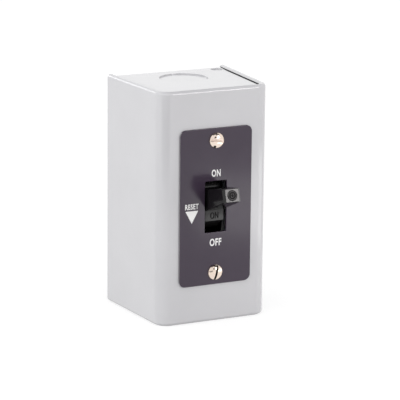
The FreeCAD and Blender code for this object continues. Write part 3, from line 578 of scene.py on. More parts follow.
    @staticmethod
    def holder(data: bpy.types.ID, name: str) -> bpy.types.Object:
        """Puts data in the scene as an object at the origin.

        Args:
            data: The mesh, curve, lamp or camera.
            name: The object's name.

        Returns:
            The object.
        """
        made = bpy.data.objects.new(name, data)
        bpy.context.scene.collection.objects.link(made)
        return made

    @staticmethod
    def evaluated(holder: bpy.types.Object) -> Mesh:
        """The plain mesh of an object with its modifiers, after which the object is removed.

        Args:
            holder: An object in the scene.

        Returns:
            The mesh.
        """
        bpy.context.view_layer.update()
        graph = bpy.context.evaluated_depsgraph_get()
        mesh = bpy.data.meshes.new_from_object(holder.evaluated_get(graph), depsgraph=graph)
        bpy.data.objects.remove(holder)
        return mesh

    @staticmethod
    def cut(mesh: Mesh, cutter: Mesh) -> Mesh:
        """A mesh without what a cutter holds.

        Args:
            mesh: The mesh.
            cutter: The closed cutter.

        Returns:
            The cut mesh.
        """
        tool = Shape.holder(cutter, "cutter")
        body = Shape.holder(mesh, "body")
        boolean = body.modifiers.new("Cut", "BOOLEAN")
        boolean.operation = "DIFFERENCE"
        boolean.object = tool
        boolean.solver = "EXACT"
        result = Shape.evaluated(body)
        bpy.data.objects.remove(tool)
        return result

    @staticmethod
    def smoothed(mesh: Mesh) -> Mesh:
        """A mesh with smooth bends, sharp corners and flat faces kept flat beside their bends.

        Args:
            mesh: The mesh.

        Returns:
            The mesh with its normals set.
        """
        mesh.shade_smooth()
        mesh.set_sharp_from_angle(angle=SMOOTH_ANGLE)
        body = Shape.holder(mesh, "body")
        body.modifiers.new("Normals", "WEIGHTED_NORMAL").keep_sharp = True
        return Shape.evaluated(body)

    @staticmethod
    def word(text: str, size: Pair, rise: float, weight: float) -> Mesh:
        """A word as a thin raised mesh, centred on the origin in the XZ plane and facing -Y.

        Args:
            text: The word.
            size: Its width and the height of its capitals, in millimetres.
            rise: How far it stands proud of Y = 0, and as far again behind it.
            weight: How much its strokes are thickened, as a share of the type size.

        Returns:
            The mesh.
        """
        curve = bpy.data.curves.new("word", "FONT")
        curve.body = text
        curve.size = 1.0
        curve.offset = weight
        curve.space_character = LETTER_SPACING
        curve.extrude = 0.5
        curve.resolution_u = 6
        mesh = Shape.evaluated(Shape.holder(curve, "word"))
        corners = [vertex.co for vertex in mesh.vertices]
        low, high = (Vector([end(corner[k] for corner in corners) for k in range(3)])
                     for end in (min, max))
        middle = Matrix.Translation(-(low + high) / 2)
        wanted = (size[0] * MM, size[1] * MM, 2 * rise * MM)
        scale = Matrix.Diagonal((*(w / s for w, s in zip(wanted, high - low)), 1.0))
        mesh.transform(Matrix.Rotation(QUARTER_TURN, 4, "X") @ scale @ middle)
        mesh.materials.clear()
        return mesh


class Piece:
    """Ends a mesh as a piece of the part."""

    @staticmethod
    def place(name: str, mesh: Mesh, body: str, material: Material,
              nodes: tuple[str, ...] = (), slot: str | None = None) -> None:
        """Puts a mesh in the scene, dressed and riding on its body.

        Args:
            name: The piece's name.
            mesh: Its mesh, in the part's frame.
            body: The body that it moves with.
            material: Its finish, unless the mesh already has its own.
            nodes: The nodes that it stands for.
            slot: The record's slot; not used.
        """
        piece = Shape.holder(mesh, name)
        mesh.name = name
        if not mesh.materials:
            mesh.materials.append(material)
        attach(piece, body)
        if nodes:
            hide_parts(*nodes)
        LOG.info("%s: %d faces, on %s", name, len(mesh.polygons), body)


class GeometryTree(NodeKit):
    """A Geometry Nodes tree with named inputs."""

    def __init__(self, name: str) -> None:
        """Starts a tree that takes and gives one geometry.

        Args:
            name: The tree's name.
        """
        super().__init__(bpy.data.node_groups.new(name, "GeometryNodeTree"))
        for way in ("INPUT", "OUTPUT"):
            self.tree.interface.new_socket("Geometry", in_out=way,
                                           socket_type="NodeSocketGeometry")
        self.entry = self.node("NodeGroupInput")
        self.exit = self.node("NodeGroupOutput")
        self.identifiers: dict[str, str] = {}

    def ask(self, kind: str, *names: str) -> list[Socket]:
        """Adds named inputs.

        Args:
            kind: Their socket type, without the NodeSocket prefix.
            *names: Their names.

        Returns:
            The sockets that give their values inside the tree.
        """
        for name in names:
            item = self.tree.interface.new_socket(name, in_out="INPUT",
                                                  socket_type="NodeSocket" + kind)
            self.identifiers[name] = item.identifier
        return [self.entry.outputs[name] for name in names]

    def vector(self, x: object = 0.0, y: object = 0.0, z: object = 0.0) -> Socket:
        """Adds a vector of numbers or sockets."""
        return self.step("ShaderNodeCombineXYZ", "Vector", {"X": x, "Y": y, "Z": z})

    def times(self, source: Socket, factor: float) -> Socket:
        """Adds a product of a socket and a number."""
        return self.step("ShaderNodeMath", "Value", {0: source, 1: factor}, operation="MULTIPLY")

    def attribute(self, name: str, kind: str) -> Socket:
        """Reads a named attribute of a data type."""
        return self.step("GeometryNodeInputNamedAttribute", "Attribute", {"Name": name},
                         data_type=kind)

    def moved(self, geometry: Socket, offset: Socket, turn: Point = (0.0, 0.0, 0.0)) -> Socket:
        """Moves a geometry by an offset, after a turn."""
        return self.step("GeometryNodeTransform", "Geometry", {
            "Geometry": geometry, "Translation": offset, "Rotation": turn})

    def without(self, geometry: Socket, cutters: list[Socket]) -> Socket:
        """Cuts closed geometries out of another.

        Args:
            geometry: What is cut.
            cutters: What cuts it.

        Returns:
            What is left.
        """
        tools = self.node("GeometryNodeJoinGeometry")
        for cutter in cutters:
            self.wire(tools.inputs["Geometry"], cutter)
        return self.step("GeometryNodeMeshBoolean", "Mesh", {
            "Mesh 1": geometry, "Mesh 2": tools.outputs["Geometry"]},
            operation="DIFFERENCE", solver="EXACT")

    def mark(self, geometry: Socket, chosen: object = True) -> Socket:
        """Marks the faces that get the second finish: those that a socket chooses, or all."""
        return self.step("GeometryNodeStoreNamedAttribute", "Geometry", {
            "Geometry": geometry, "Name": MARKED, "Value": chosen},
            data_type="BOOLEAN", domain="FACE")

    def finish(self, geometry: Socket, material: Socket, second: Socket) -> None:
        """Ends the tree in Realize Instances and Set Material.

        Args:
            geometry: The geometry so far.
            material: The socket that gives its material.
            second: The socket that gives the marked faces' material.
        """
        whole = self.step("GeometryNodeRealizeInstances", "Geometry", {"Geometry": geometry})
        dressed = self.step("GeometryNodeSetMaterial", "Geometry", {
            "Geometry": whole, "Material": material})
        marked = self.attribute(MARKED, "BOOLEAN")
        dressed = self.step("GeometryNodeSetMaterial", "Geometry", {
            "Geometry": dressed, "Selection": marked, "Material": second})
        self.wire(self.exit.inputs["Geometry"], dressed)

    def run(self, mesh: Mesh, lengths: dict[str, float], others: dict[str, object]) -> Mesh:
        """Runs the tree on a mesh.

        Args:
            mesh: The geometry that goes in.
            lengths: The named inputs that are lengths, in millimetres.
            others: The other named inputs.

        Returns:
            The plain mesh that comes out, healed and smoothed.
        """
        carrier = bpy.data.objects.new("tree_carrier", mesh)
        modifier = carrier.modifiers.new("Tree", "NODES")
        modifier.node_group = self.tree
        for name, length in lengths.items():
            modifier[self.identifiers[name]] = length * MM
        for name, value in others.items():
            modifier[self.identifiers[name]] = value
        bpy.context.scene.collection.objects.link(carrier)
        return Shape.smoothed(Shape.healed(Shape.evaluated(carrier)))


@dataclass
class Cover:
    """The wrapped cover: one sheet round the front and both flared sides, its edges turned in."""

    front_width: float = 53.4
    rear_width: float = 59.7
    height: float = 106.4
    depth: float = 51.5
    sheet: float = 1.0
    bend: float = 6.4
    bend_steps: int = 14
    lip_width: float = 2.9
    lip_droop: float = 38.0
    lip_radius: float = 1.5
    lip_steps: int = 5
    fold_radius: float = 0.1
    rear_step: float = 1.6
    edge_round: float = 0.12
    window: Pair = (11.8, 24.6)
    hole: float = 4.1
    screw_spacing: float = 60.3
    cut_reach: float = 6.0
    sheared_limit: float = 0.99

    def section(self) -> Mesh:
        """The sheet's closed section from lip to lip: X is outwards and Y runs along the height.

        The lips droop towards the middle, and the points of their sheared ends have the value 1 in
        an attribute.

        Returns:
            A mesh of edges.
        """
        droop = math.radians(self.lip_droop)
        slope = math.tan(droop)
        corner = self.height / 2 + self.lip_radius * (slope + 1 / math.cos(droop) - 1)
        end = Vector((-self.lip_width, corner - self.lip_width * slope))
        under = end + Vector((math.sin(droop), -math.cos(droop))) * self.sheet
        fold = (-self.sheet, under.y + (-self.sheet - under.x) * slope)
        lip = [(0.0, corner, self.lip_radius), (*end, self.edge_round), (*under, self.edge_round),
               (*fold, self.fold_radius)]
        points = Shape.rounded(lip + [(u, -v, r) for u, v, r in reversed(lip)], self.lip_steps)
        count = len(points)
        mesh = bpy.data.meshes.new("cover_section")
        mesh.from_pydata([(u * MM, v * MM, 0.0) for u, v in points],
                         [(k, (k + 1) % count) for k in range(count)], [])
        along = Vector((-math.cos(droop), -math.sin(droop)))
        reach = end.dot(along) - self.edge_round
        sheared = [float(Vector((u, abs(v))).dot(along) > reach) for u, v in points]
        mesh.attributes.new(SHEARED_END, "FLOAT", "POINT").data.foreach_set("value", sheared)
        return mesh

    def plan(self) -> Mesh:
        """The outer face's path from the left rear edge round the front to the right one.

        Returns:
            A mesh of edges.
        """
        front, rear = self.front_width / 2, self.rear_width / 2
        path = [(-rear, -self.rear_step), (-front, -self.depth), (front, -self.depth),
                (rear, -self.rear_step)]
        mesh = bpy.data.meshes.new("cover_plan")
        mesh.from_pydata([(x * MM, y * MM, 0.0) for x, y in path], [(0, 1), (1, 2), (2, 3)], [])
        return mesh

    def tree(self) -> GeometryTree:
        """The tree that sweeps the section along the plan and cuts the window and the screw holes.

        Returns:
            The tree.
        """
        tree = GeometryTree("wrapped_sheet")
        [section] = tree.ask("Object", "Section")
        bend, front, width, height, radius, spacing, reach = tree.ask(
            "Float", "Bend Radius", "Front", "Window Width", "Window Height", "Hole Radius",
            "Hole Spacing", "Cut Reach")
        material, shaded_end_material = tree.ask("Material", "Material", "Shaded End Material")

        plan = tree.step("GeometryNodeMeshToCurve", "Curve", {
            "Mesh": tree.entry.outputs["Geometry"]})
        bent = tree.step("GeometryNodeFilletCurve", "Curve", {
            "Curve": plan, "Count": self.bend_steps, "Radius": bend}, mode="POLY")
        path = tree.step("GeometryNodeSetCurveNormal", "Curve", {"Curve": bent}, mode="Z_UP")
        edges = tree.step("GeometryNodeObjectInfo", "Geometry", {"Object": section})
        profile = tree.step("GeometryNodeMeshToCurve", "Curve", {"Mesh": edges})
        sheet = tree.step("GeometryNodeCurveToMesh", "Mesh", {
            "Curve": path, "Profile Curve": profile, "Fill Caps": True})
        sheared = tree.step("FunctionNodeCompare", "Result", {
            "A": tree.attribute(SHEARED_END, "FLOAT"), "B": self.sheared_limit},
            data_type="FLOAT", operation="GREATER_THAN")

        block = tree.step("GeometryNodeMeshCube", "Mesh", {
            "Size": tree.vector(width, reach, height)})
        cutters = [tree.moved(block, tree.vector(y=front))]
        for side in BOTH_SIDES:
            drill = tree.step("GeometryNodeMeshCylinder", "Mesh", {
                "Vertices": HOLE_STEPS, "Radius": radius, "Depth": reach})
            seat = tree.vector(y=front, z=tree.times(spacing, side))
            cutters.append(tree.moved(drill, seat, (QUARTER_TURN, 0.0, 0.0)))
        # The lips' sheared ends get the second material, a near-black painted shade for the gap
        # under each lip.
        pierced = tree.without(tree.mark(sheet, sheared), cutters)
        tree.finish(pierced, material, shaded_end_material)
        return tree

    def build(self, finishes: Finishes) -> None:
        """Makes the cover and dresses it.

        Args:
            finishes: The materials.
        """
        material = finishes.of(ENAMEL)
        section = Shape.holder(self.section(), "cover_section")
        lengths = {"Bend Radius": self.bend, "Front": -self.depth, "Window Width": self.window[0],
                   "Window Height": self.window[1], "Hole Radius": self.hole / 2,
                   "Hole Spacing": self.screw_spacing, "Cut Reach": self.cut_reach}
        mesh = self.tree().run(self.plan(), lengths, {
            "Section": section, "Material": material, "Shaded End Material": finishes.of(SHADED_LIP_END)})
        bpy.data.objects.remove(section)
        Piece.place("cover", mesh, "cover", material, ("cover_shell",), "grey_enamel")


@dataclass
class Nameplate:
    """The dark plate on the cover's front, with the printed words and the reset mark.

    Each word has its middle's X and Z, its width and the height of its capitals.
    """

    width: float = 35.4
    height: float = 71.5
    sheet: float = 0.9
    corner: float = 3.0
    corner_steps: int = 8
    back: float = -51.5
    window: Pair = (10.6, 23.4)
    window_corner: float = 0.5
    hole: float = 4.1
    screw_spacing: float = 60.3
    edge_round: float = 0.22
    rim_band: float = 0.88
    rim_slope: float = 0.6
    ink: float = 0.02
    words: tuple[tuple[str, float, float, float, float], ...] = (
        ("ON", 0.05, 15.3, 4.4, 3.3),
        ("OFF", 0.1, -16.3, 5.8, 3.4),
        ("RESET", -11.8, 1.0, 6.6, 2.5),
    )
    weight: float = 0.032
    mark: tuple[Pair, Pair, Pair] = ((-14.95, -0.95), (-8.65, -0.95), (-11.8, -6.75))
    mark_corner: float = 0.15
    mark_steps: int = 3

    def outlines(self) -> list[list[Pair]]:
        """Outlines of the plate, its window and its two screw holes.

        Returns:
            The points of each.
        """
        panels = ((self.width, self.height, self.corner), (*self.window, self.window_corner))
        outlines = [Shape.oblong((width / 2, height / 2), corner, self.corner_steps)
                    for width, height, corner in panels]
        for side in BOTH_SIDES:
            hole = Shape.circle(self.hole / 2, HOLE_STEPS)
            outlines.append([(x, self.screw_spacing * side + z) for x, z in hole])
        return outlines

    def blank(self) -> Mesh:
        """The plate as a filled flat curve with rounded edges.

        Returns:
            The mesh, in the part's frame.
        """
        curve = bpy.data.curves.new("plate", "CURVE")
        curve.dimensions = "2D"
        curve.fill_mode = "BOTH"
        curve.extrude = (self.sheet / 2 - self.edge_round) * MM
        curve.bevel_depth = self.edge_round * MM
        curve.bevel_resolution = 2
        curve.offset = -self.edge_round * MM
        for outline in self.outlines():
            spline = curve.splines.new("POLY")
            spline.points.add(len(outline) - 1)
            for point, (x, z) in zip(spline.points, outline):
                point.co = (x * MM, z * MM, 0.0, 1.0)
            spline.use_cyclic_u = True
        mesh = Shape.evaluated(Shape.holder(curve, "plate"))
        middle = Matrix.Translation((0.0, (self.back - self.sheet / 2) * MM, 0.0))
        mesh.transform(middle @ Matrix.Rotation(QUARTER_TURN, 4, "X"))
        return Shape.smoothed(Shape.healed(mesh))

    def prints(self) -> dict[str, Mesh]:
        """The printed words and the reset mark, on the plane Y = 0.

        Returns:
            The mesh of each print.
        """
        meshes: dict[str, Mesh] = {}
        for text, x, z, width, height in self.words:
            word = Shape.word(text, (width, height), self.ink, self.weight)
            word.transform(Matrix.Translation((x * MM, 0.0, z * MM)))
            meshes["print_" + text.lower()] = word
        outline = Shape.rounded([(x, z, self.mark_corner) for x, z in self.mark], self.mark_steps)
        axes = (Vector((MM, 0.0, 0.0)), Vector((0.0, 0.0, MM)),
                Vector((0.0, 2 * self.ink * MM, 0.0)))
        meshes["print_reset_mark"] = Shape.prism(outline, axes)
        return meshes

    def build(self, finishes: Finishes) -> None:
        """Makes the plate and its print, and dresses them.

        Args:
            finishes: The materials.
        """
        plate = self.blank()
        for finish in (PLATE, BRIGHT_RIM):
            plate.materials.append(finishes.of(finish))
        for polygon in plate.polygons:
            outside = abs(polygon.center.x) > (self.width / 2 - self.rim_band) * MM
            polygon.material_index = int(outside and abs(polygon.normal.y) < self.rim_slope)
        Piece.place("plate", plate, "cover", finishes.of(PLATE), ("nameplate",), "dark_plate")
        for name, mesh in self.prints().items():
            mesh.transform(Matrix.Translation((0.0, (self.back - self.sheet) * MM, 0.0)))
            Piece.place(name, mesh, "cover", finishes.of(INK))


@dataclass
class Handle:
    """The toggle handle: a lever between two flat faces, on a round skirt that turns on the pin.

    The tip's profile has rows of the way behind the tip and the way in, as shares of the bevel, and
    the share of the lever's rounding. Each word has its width, its height from the pin where it
    reads upright and the swing from ON where it does so.
    """

    pivot: float = -39.4
    tilt: float = 16.5
    reach: float = 30.2
    tip: Pair = (8.4, 6.0)
    tip_bevel: float = 1.0
    tip_profile: tuple[Point, ...] = ((1.0, 0.0, 1.0), (0.8, 0.12, 1.0), (0.12, 0.85, 0.7),
                                      (0.0, 1.0, 0.6))
    tip_lean: float = 0.2
    root_depth: float = 10.0
    root: Pair = (9.4, 10.6)
    lever_round: float = 0.7
    lever_steps: int = 5
    drum_width: float = 9.4
    face_depth: float = 11.8
    face_drop: float = 6.7
    skirt_radius: float = 12.4
    skirt_half_angle: float = 85.0
    skirt_steps: int = 16
    skirt_band: float = 0.12
    hub_radius: float = 4.5
    hub_steps: int = 8
    bore: float = 3.3
    bore_steps: int = 32
    rim: float = 0.3
    tail_length: float = 8.0
    tail_ball: float = 3.0
    tail_neck: float = 2.0
    tail_width: float = 3.0
    tail_rim: float = 0.2
    tail_steps: int = 24
    rings: tuple[Pair, ...] = ((2.0, 1.65), (0.95, 0.6))
    ring_rise: float = 0.14
    ring_edge: Pair = (0.08, 0.04)
    disc: float = 2.4
    disc_rise: float = 0.04
    disc_flat: float = 0.6
    disc_crown: float = 1.2
    disc_root: float = 0.6
    words: tuple[tuple[str, float, float, float], ...] = (
        ("ON", 3.8475, -4.3, 0.0),
        ("OFF", 6.075, 4.3, 33.0),
    )
    word_height: float = 3.0
    word_rise: float = 0.26

    def half_outline(self) -> list[Pair]:
        """Upper half of the drum's outline as (Y, Z), from its crest to behind the pin.

        Returns:
            The points, with the lever level.
        """
        tilt = math.radians(self.tilt)
        sine, cosine = math.sin(tilt), math.cos(tilt)
        face_end = (self.face_drop * sine - self.face_depth * cosine,
                    self.face_drop * cosine + self.face_depth * sine)
        skirt = Shape.arc(self.skirt_radius, math.atan2(face_end[1], -face_end[0]),
                          math.radians(self.skirt_half_angle), self.skirt_steps)
        hub = Shape.arc(self.hub_radius, QUARTER_TURN, 0.0, self.hub_steps)
        return [(-self.face_depth / cosine, 0.0), face_end, *((-y, z) for y, z in skirt), *hub]

    @staticmethod
    def across(width: float) -> tuple[Vector, Vector, Vector]:
        """Axes of an outline in Y and Z that runs out over a width along X."""
        return Vector((0.0, MM, 0.0)), Vector((0.0, 0.0, MM)), Vector((width * MM, 0.0, 0.0))

    def drum(self) -> Mesh:
        """The drum with its bore, the lever level and the pin at the origin.

        Returns:
            The mesh.
        """
        upper = self.half_outline()
        lower = [(y, -z) for y, z in reversed(upper[1:-1])]
        body = Shape.prism(upper + lower, self.across(self.drum_width), self.rim * MM)
        hole = Shape.circle(self.bore / 2, self.bore_steps)
        return Shape.cut(body, Shape.prism(hole, self.across(self.drum_width * 2)))

    def lever_ring(self, y: float, shrink: float, rounding: float) -> list[Point]:
        """Rounded section of the lever.

        Args:
            y: Its place along the lever, towards the front.
            shrink: How far its sides are drawn in from the lever's taper.
            rounding: Its corners' radius.

        Returns:
            The section's points.
        """
        share = (y - self.root_depth) / (self.reach - self.root_depth)
        x, z = ((root + (tip - root) * share) / 2 for root, tip in zip(self.root, self.tip))
        outline = Shape.oblong((x - shrink, z - shrink * self.tip_lean), rounding, self.lever_steps)
        return [(u * MM, -y * MM, v * MM) for u, v in outline]

    def lever(self) -> Mesh:
        """The tapered lever with its bevelled tip, level.

        Returns:
            The mesh.
        """
        bevel = self.tip_bevel
        rings = [self.lever_ring(self.root_depth, 0.0, self.lever_round)]
        for behind, inward, rounding in self.tip_profile:
            rings.append(self.lever_ring(self.reach - bevel * behind, bevel * inward,
                                         self.lever_round * rounding))
        return Shape.lofted(rings)

    def tail(self) -> Mesh:
        """The tail behind the pin that moves the contact carrier, level.

        Returns:
            The mesh.
        """
        half, ball = self.tail_neck / 2, self.tail_ball / 2
        first = math.asin(half / ball)
        round_end = Shape.arc(ball, math.pi - first, first - math.pi, self.tail_steps)
        outline = [(self.bore, half), *((self.tail_length + y, z) for y, z in round_end),
                   (self.bore, -half)]
        return Shape.prism(outline, self.across(self.tail_width), self.tail_rim * MM)

    def on_tip(self, profile: list[Pair]) -> Mesh:
        """Body turned round the lever's axis, level.

        Args:
            profile: Radius and Y of each ring, where the tip is at Y = 0.

        Returns:
            The mesh.
        """
        mesh = Shape.lathe(profile)
        mesh.transform(Matrix.Translation((0.0, -self.reach * MM, 0.0)))
        return mesh

    def tip_ring(self, outer: float, inner: float) -> Mesh:
        """Plain raised ring on the tip, level.

        Args:
            outer: Its outer radius.
            inner: Its inner radius.

        Returns:
            The mesh.
        """
        rise = self.ring_rise
        wide, deep = self.ring_edge
        return self.on_tip([(inner, rise), (inner, deep - rise), (inner + wide, -rise),
                            (outer - wide, -rise), (outer, deep - rise), (outer, rise),
                            (inner, rise)])

    def tip_disc(self) -> Mesh:
        """Dull field under the tip's rings, level.

        Returns:
            The mesh.
        """
        radius, rise, root = self.disc, self.disc_rise, self.disc_root
        return self.on_tip([(0.0, -rise * self.disc_crown), (radius * self.disc_flat, -rise),
                            (radius, -rise), (radius, root), (0.0, root)])

    def lifted(self, angle: float) -> Matrix:
        """Puts what is round the origin on the pin, its front lifted by an angle in degrees."""
        pin = Matrix.Translation((0.0, self.pivot * MM, 0.0))
        return pin @ Matrix.Rotation(math.radians(-angle), 4, "X")

    def build(self, finishes: Finishes) -> None:
        """Makes the handle in ON, with its moulded words, and dresses it.

        Args:
            finishes: The materials.
        """
        black, dull = finishes.of(BLACK), finishes.of(DULL_BLACK)
        disc = self.tip_disc()
        disc.transform(self.lifted(self.tilt))
        Piece.place("handle_tip_disc", Shape.smoothed(disc), "toggle", dull)
        for text, width, z, swing in self.words:
            word = Shape.word(text, (width, self.word_height), self.word_rise, 0.0)
            face = Matrix.Translation((0.0, -self.face_depth * MM, z * MM))
            word.transform(self.lifted(swing) @ face)
            Piece.place("handle_word_" + text.lower(), word, "toggle", dull)
        rings = [self.tip_ring(*ring) for ring in self.rings]
        mesh = Shape.joined([self.drum(), self.lever(), self.tail(), *rings])
        for material in (black, dull):
            mesh.materials.append(material)
        for polygon in mesh.polygons:
            reach = math.hypot(polygon.center.y, polygon.center.z) / MM
            polygon.material_index = int(abs(reach - self.skirt_radius) < self.skirt_band)
        mesh.transform(self.lifted(self.tilt))
        Piece.place("handle", Shape.smoothed(mesh), "toggle", black, ("toggle_handle",),
                    "black_moulding")


@dataclass(frozen=True)
class FastenerSize:
    """Sizes of one kind of fastener; a slot of width 0 makes a rivet with a head at both ends."""

    head: float
    rise: float
    shank: float
    length: float
    slot_width: float
    slot_depth: float
    pitch: float = 0.0
    dome_steps: int = 14
    rim_share: float = 0.12
    rim_chamfer: float = 0.1
    thread_start: float = 0.6
    thread_stop: float = 0.5
    thread_depth: float = 0.6
    thread_root: Pair = (0.45, 0.55)
    point: float = 0.4

    def crown(self) -> list[Pair]:
        """Half section of the head as (radius, Y), from its crown to its seat at Y = 0.

        Returns:
            The points.
        """
        radius, rim = self.head / 2, self.rise * self.rim_share
        dome = Shape.arc(1.0, 0.0, QUARTER_TURN, self.dome_steps)
        points = [(radius * out, -rim - (self.rise - rim) * up) for up, out in dome]
        return points + [(radius - self.rim_chamfer, 0.0)]

    def profile(self) -> list[Pair]:
        """Half section from the crown to the far end, as (radius, Y).

        Returns:
            The points.
        """
        crown, half = self.crown(), self.shank / 2
        points = crown + [(half, 0.0)]
        if self.slot_width <= 0:
            far_head = [(radius, self.length - y) for radius, y in reversed(crown)]
            return points + [(half, self.length)] + far_head
        root = half - self.thread_depth * self.pitch
        y = self.thread_start
        while self.pitch > 0 and y + self.pitch < self.length - self.thread_stop:
            points += [(half, y), *((root, y + self.pitch * share) for share in self.thread_root)]
            y += self.pitch
        return points + [(half, min(y, self.length - self.point)),
                         (half - self.point, self.length), (0.0, self.length)]


@dataclass
class FastenerGroup:
    """Equal fasteners of one node, each with its seat and the turn of its slot in degrees."""

    node: str
    body: str
    slot: str
    finish: Metal
    size: FastenerSize
    seats: tuple[tuple[float, float, float, float], ...]
    blade_length: float = 1.2

    def tree(self) -> GeometryTree:
        """The tree that cuts the slot and sets one fastener on each seat.

        Returns:
            The tree.
        """
        tree = GeometryTree(self.node + "_tree")
        [fastener] = tree.ask("Object", "Fastener")
        head, rise, width, depth = tree.ask("Float", "Head Diameter", "Head Rise", "Slot Width",
                                            "Slot Depth")
        material, slot_material = tree.ask("Material", "Material", "Slot Material")
        made = tree.step("GeometryNodeObjectInfo", "Geometry", {"Object": fastener})
        if self.size.slot_width > 0:
            size = tree.vector(tree.times(head, self.blade_length), tree.times(depth, 2.0), width)
            blade = tree.step("GeometryNodeMeshCube", "Mesh", {"Size": size})
            lowered = tree.moved(tree.mark(blade), tree.vector(y=tree.times(rise, -1.0)))
            made = tree.without(made, [lowered])
        spread = tree.step("GeometryNodeInstanceOnPoints", "Instances", {
            "Points": tree.entry.outputs["Geometry"], "Instance": made,
            "Rotation": tree.vector(y=tree.attribute(SLOT_TURN, "FLOAT"))})
        tree.finish(spread, material, slot_material)
        return tree

    def build(self, finishes: Finishes) -> None:
        """Makes the fasteners of the group and dresses them.

        Args:
            finishes: The materials.
        """
        material, size = finishes.of(self.finish), self.size
        fastener = Shape.holder(Shape.lathe(size.profile()), "fastener")
        points = bpy.data.meshes.new("seats")
        points.from_pydata([(x * MM, y * MM, z * MM) for x, y, z, _ in self.seats], [], [])
        turns = [math.radians(turn) for *_, turn in self.seats]
        points.attributes.new(SLOT_TURN, "FLOAT", "POINT").data.foreach_set("value", turns)
        lengths = {"Head Diameter": size.head, "Head Rise": size.rise,
                   "Slot Width": size.slot_width, "Slot Depth": size.slot_depth}
        mesh = self.tree().run(points, lengths, {
            "Fastener": fastener, "Material": material, "Slot Material": finishes.of(SLOT_TONE)})
        bpy.data.objects.remove(fastener)
        Piece.place(self.node + "_dressed", mesh, self.body, material, (self.node,), self.slot)


FASTENERS = (
    FastenerGroup("cover_screws", "cover", "plated_screws", PALE_BRASS,
                  FastenerSize(7.2, 1.9, 3.5, 10.5, 1.0, 1.05, 0.79),
                  ((0.0, -52.4, 30.15, 12.0), (0.0, -52.4, -30.15, 102.0))),
    FastenerGroup("strap_screws", "base", "zinc_steel", ZINC,
                  FastenerSize(6.6, 1.8, 3.5, 7.0, 0.92, 0.99, 0.79),
                  ((0.0, -47.7, 41.65, 30.0), (0.0, -47.7, -41.65, -30.0))),
    FastenerGroup("ground_screw", "base", "green_screw", GREEN_DYE,
                  FastenerSize(7.6, 2.6, 4.0, 1.2, 1.06, 1.43),
                  ((17.0, -1.2, -43.0, 30.0),)),
    FastenerGroup("terminal_screws", "base", "plated_screws", PALE_BRASS,
                  FastenerSize(7.2, 2.6, 3.5, 7.0, 1.0, 1.43, 0.79),
                  ((15.5, -40.0, 28.0, 30.0), (-15.5, -40.0, 28.0, 115.0),
                   (15.5, -40.0, -28.0, 75.0), (-15.5, -40.0, -28.0, 10.0))),
    FastenerGroup("heater_screws", "base", "plated_screws", PALE_BRASS,
                  FastenerSize(5.4, 2.2, 2.8, 6.0, 0.76, 1.21, 0.5),
                  ((-16.75, -39.8, -7.0, 30.0), (-16.75, -39.8, -16.0, 140.0))),
    FastenerGroup("housing_rivets", "base", "trip_steel", TRIP,
                  FastenerSize(3.8, 0.8, 2.5, 34.0, 0.0, 0.0),
                  tuple((x, -47.7, z, 0.0) for x in (-5.0, 5.0) for z in (-26.8, 26.8))),
)

NODE_FINISHES: dict[Finish, tuple[str, ...]] = {
    ENAMEL: ("base_box",),
    ZINC: ("strap_brackets", "mounting_strap", "terminal_clamps"),
    BLACK: ("switch_housing", "contact_carrier"),
    FIBRE: ("rear_insulator",),
    COPPER: ("line_terminal_left", "line_terminal_right", "load_terminal_left",
             "load_terminal_right", "heater_link", "contact_bridges"),
    SILVER: ("fixed_contacts", "moving_contacts"),
    SPRING: ("contact_springs", "opening_spring", "pawl_spring"),
    HEATER: ("heater_element",),
    TRIP: ("handle_pin", "solder_pot", "ratchet_wheel", "trip_pawl", "pawl_pin"),
}


class Works:
    """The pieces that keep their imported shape: the box and what is inside it."""

    @staticmethod
    def dress(finishes: Finishes) -> None:
        """Gives each kept node its finish.

        Args:
            finishes: The materials.
        """
        for finish, nodes in NODE_FINISHES.items():
            for node in nodes:
                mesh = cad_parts[node].data
                mesh.materials.clear()
                mesh.materials.append(finishes.of(finish))
                LOG.info("%s: kept shape, %s", node, finish.name)


def pointing(azimuth: float, elevation: float) -> Vector:
    """Direction from the part.

    Args:
        azimuth: Degrees from the front towards the right.
        elevation: Degrees above the level.

    Returns:
        The unit vector.
    """
    turn, rise = math.radians(azimuth), math.radians(elevation)
    level = math.cos(rise)
    return Vector((math.sin(turn) * level, -math.cos(turn) * level, math.sin(rise)))


def grey(level: float) -> tuple[float, float, float, float]:
    """An even colour of a level, with its alpha."""
    return level, level, level, 1.0


@dataclass(frozen=True)
class Hanging:
    """Something flat that hangs in the studio and looks at the part, with its sizes in metres."""

    name: str
    azimuth: float
    elevation: float
    distance: float
    size: Pair

    def pose(self, aim: Vector) -> tuple[Vector, Quaternion]:
        """Its place and turn, where it looks at a point."""
        towards = pointing(self.azimuth, self.elevation)
        return aim + towards * self.distance, towards.to_track_quat("Z", "Y")


@dataclass(frozen=True)
class Lamp(Hanging):
    """A soft oblong light, which reflections show where it is mirrored."""

    radiance: float
    mirrored: bool = False
    tint: Colour = (1.0, 1.0, 1.0)

    def hang(self, aim: Vector) -> None:
        """Puts the light in the scene.

        Args:
            aim: The point that it looks at.
        """
        data = bpy.data.lights.new(self.name, "AREA")
        data.shape = "RECTANGLE"
        data.size, data.size_y = self.size
        data.energy = self.radiance * math.pi * self.size[0] * self.size[1]
        data.color = self.tint
        light = Shape.holder(data, self.name)
        light.rotation_mode = "QUATERNION"
        light.location, light.rotation_quaternion = self.pose(aim)
        light.visible_camera = False
        light.visible_glossy = self.mirrored


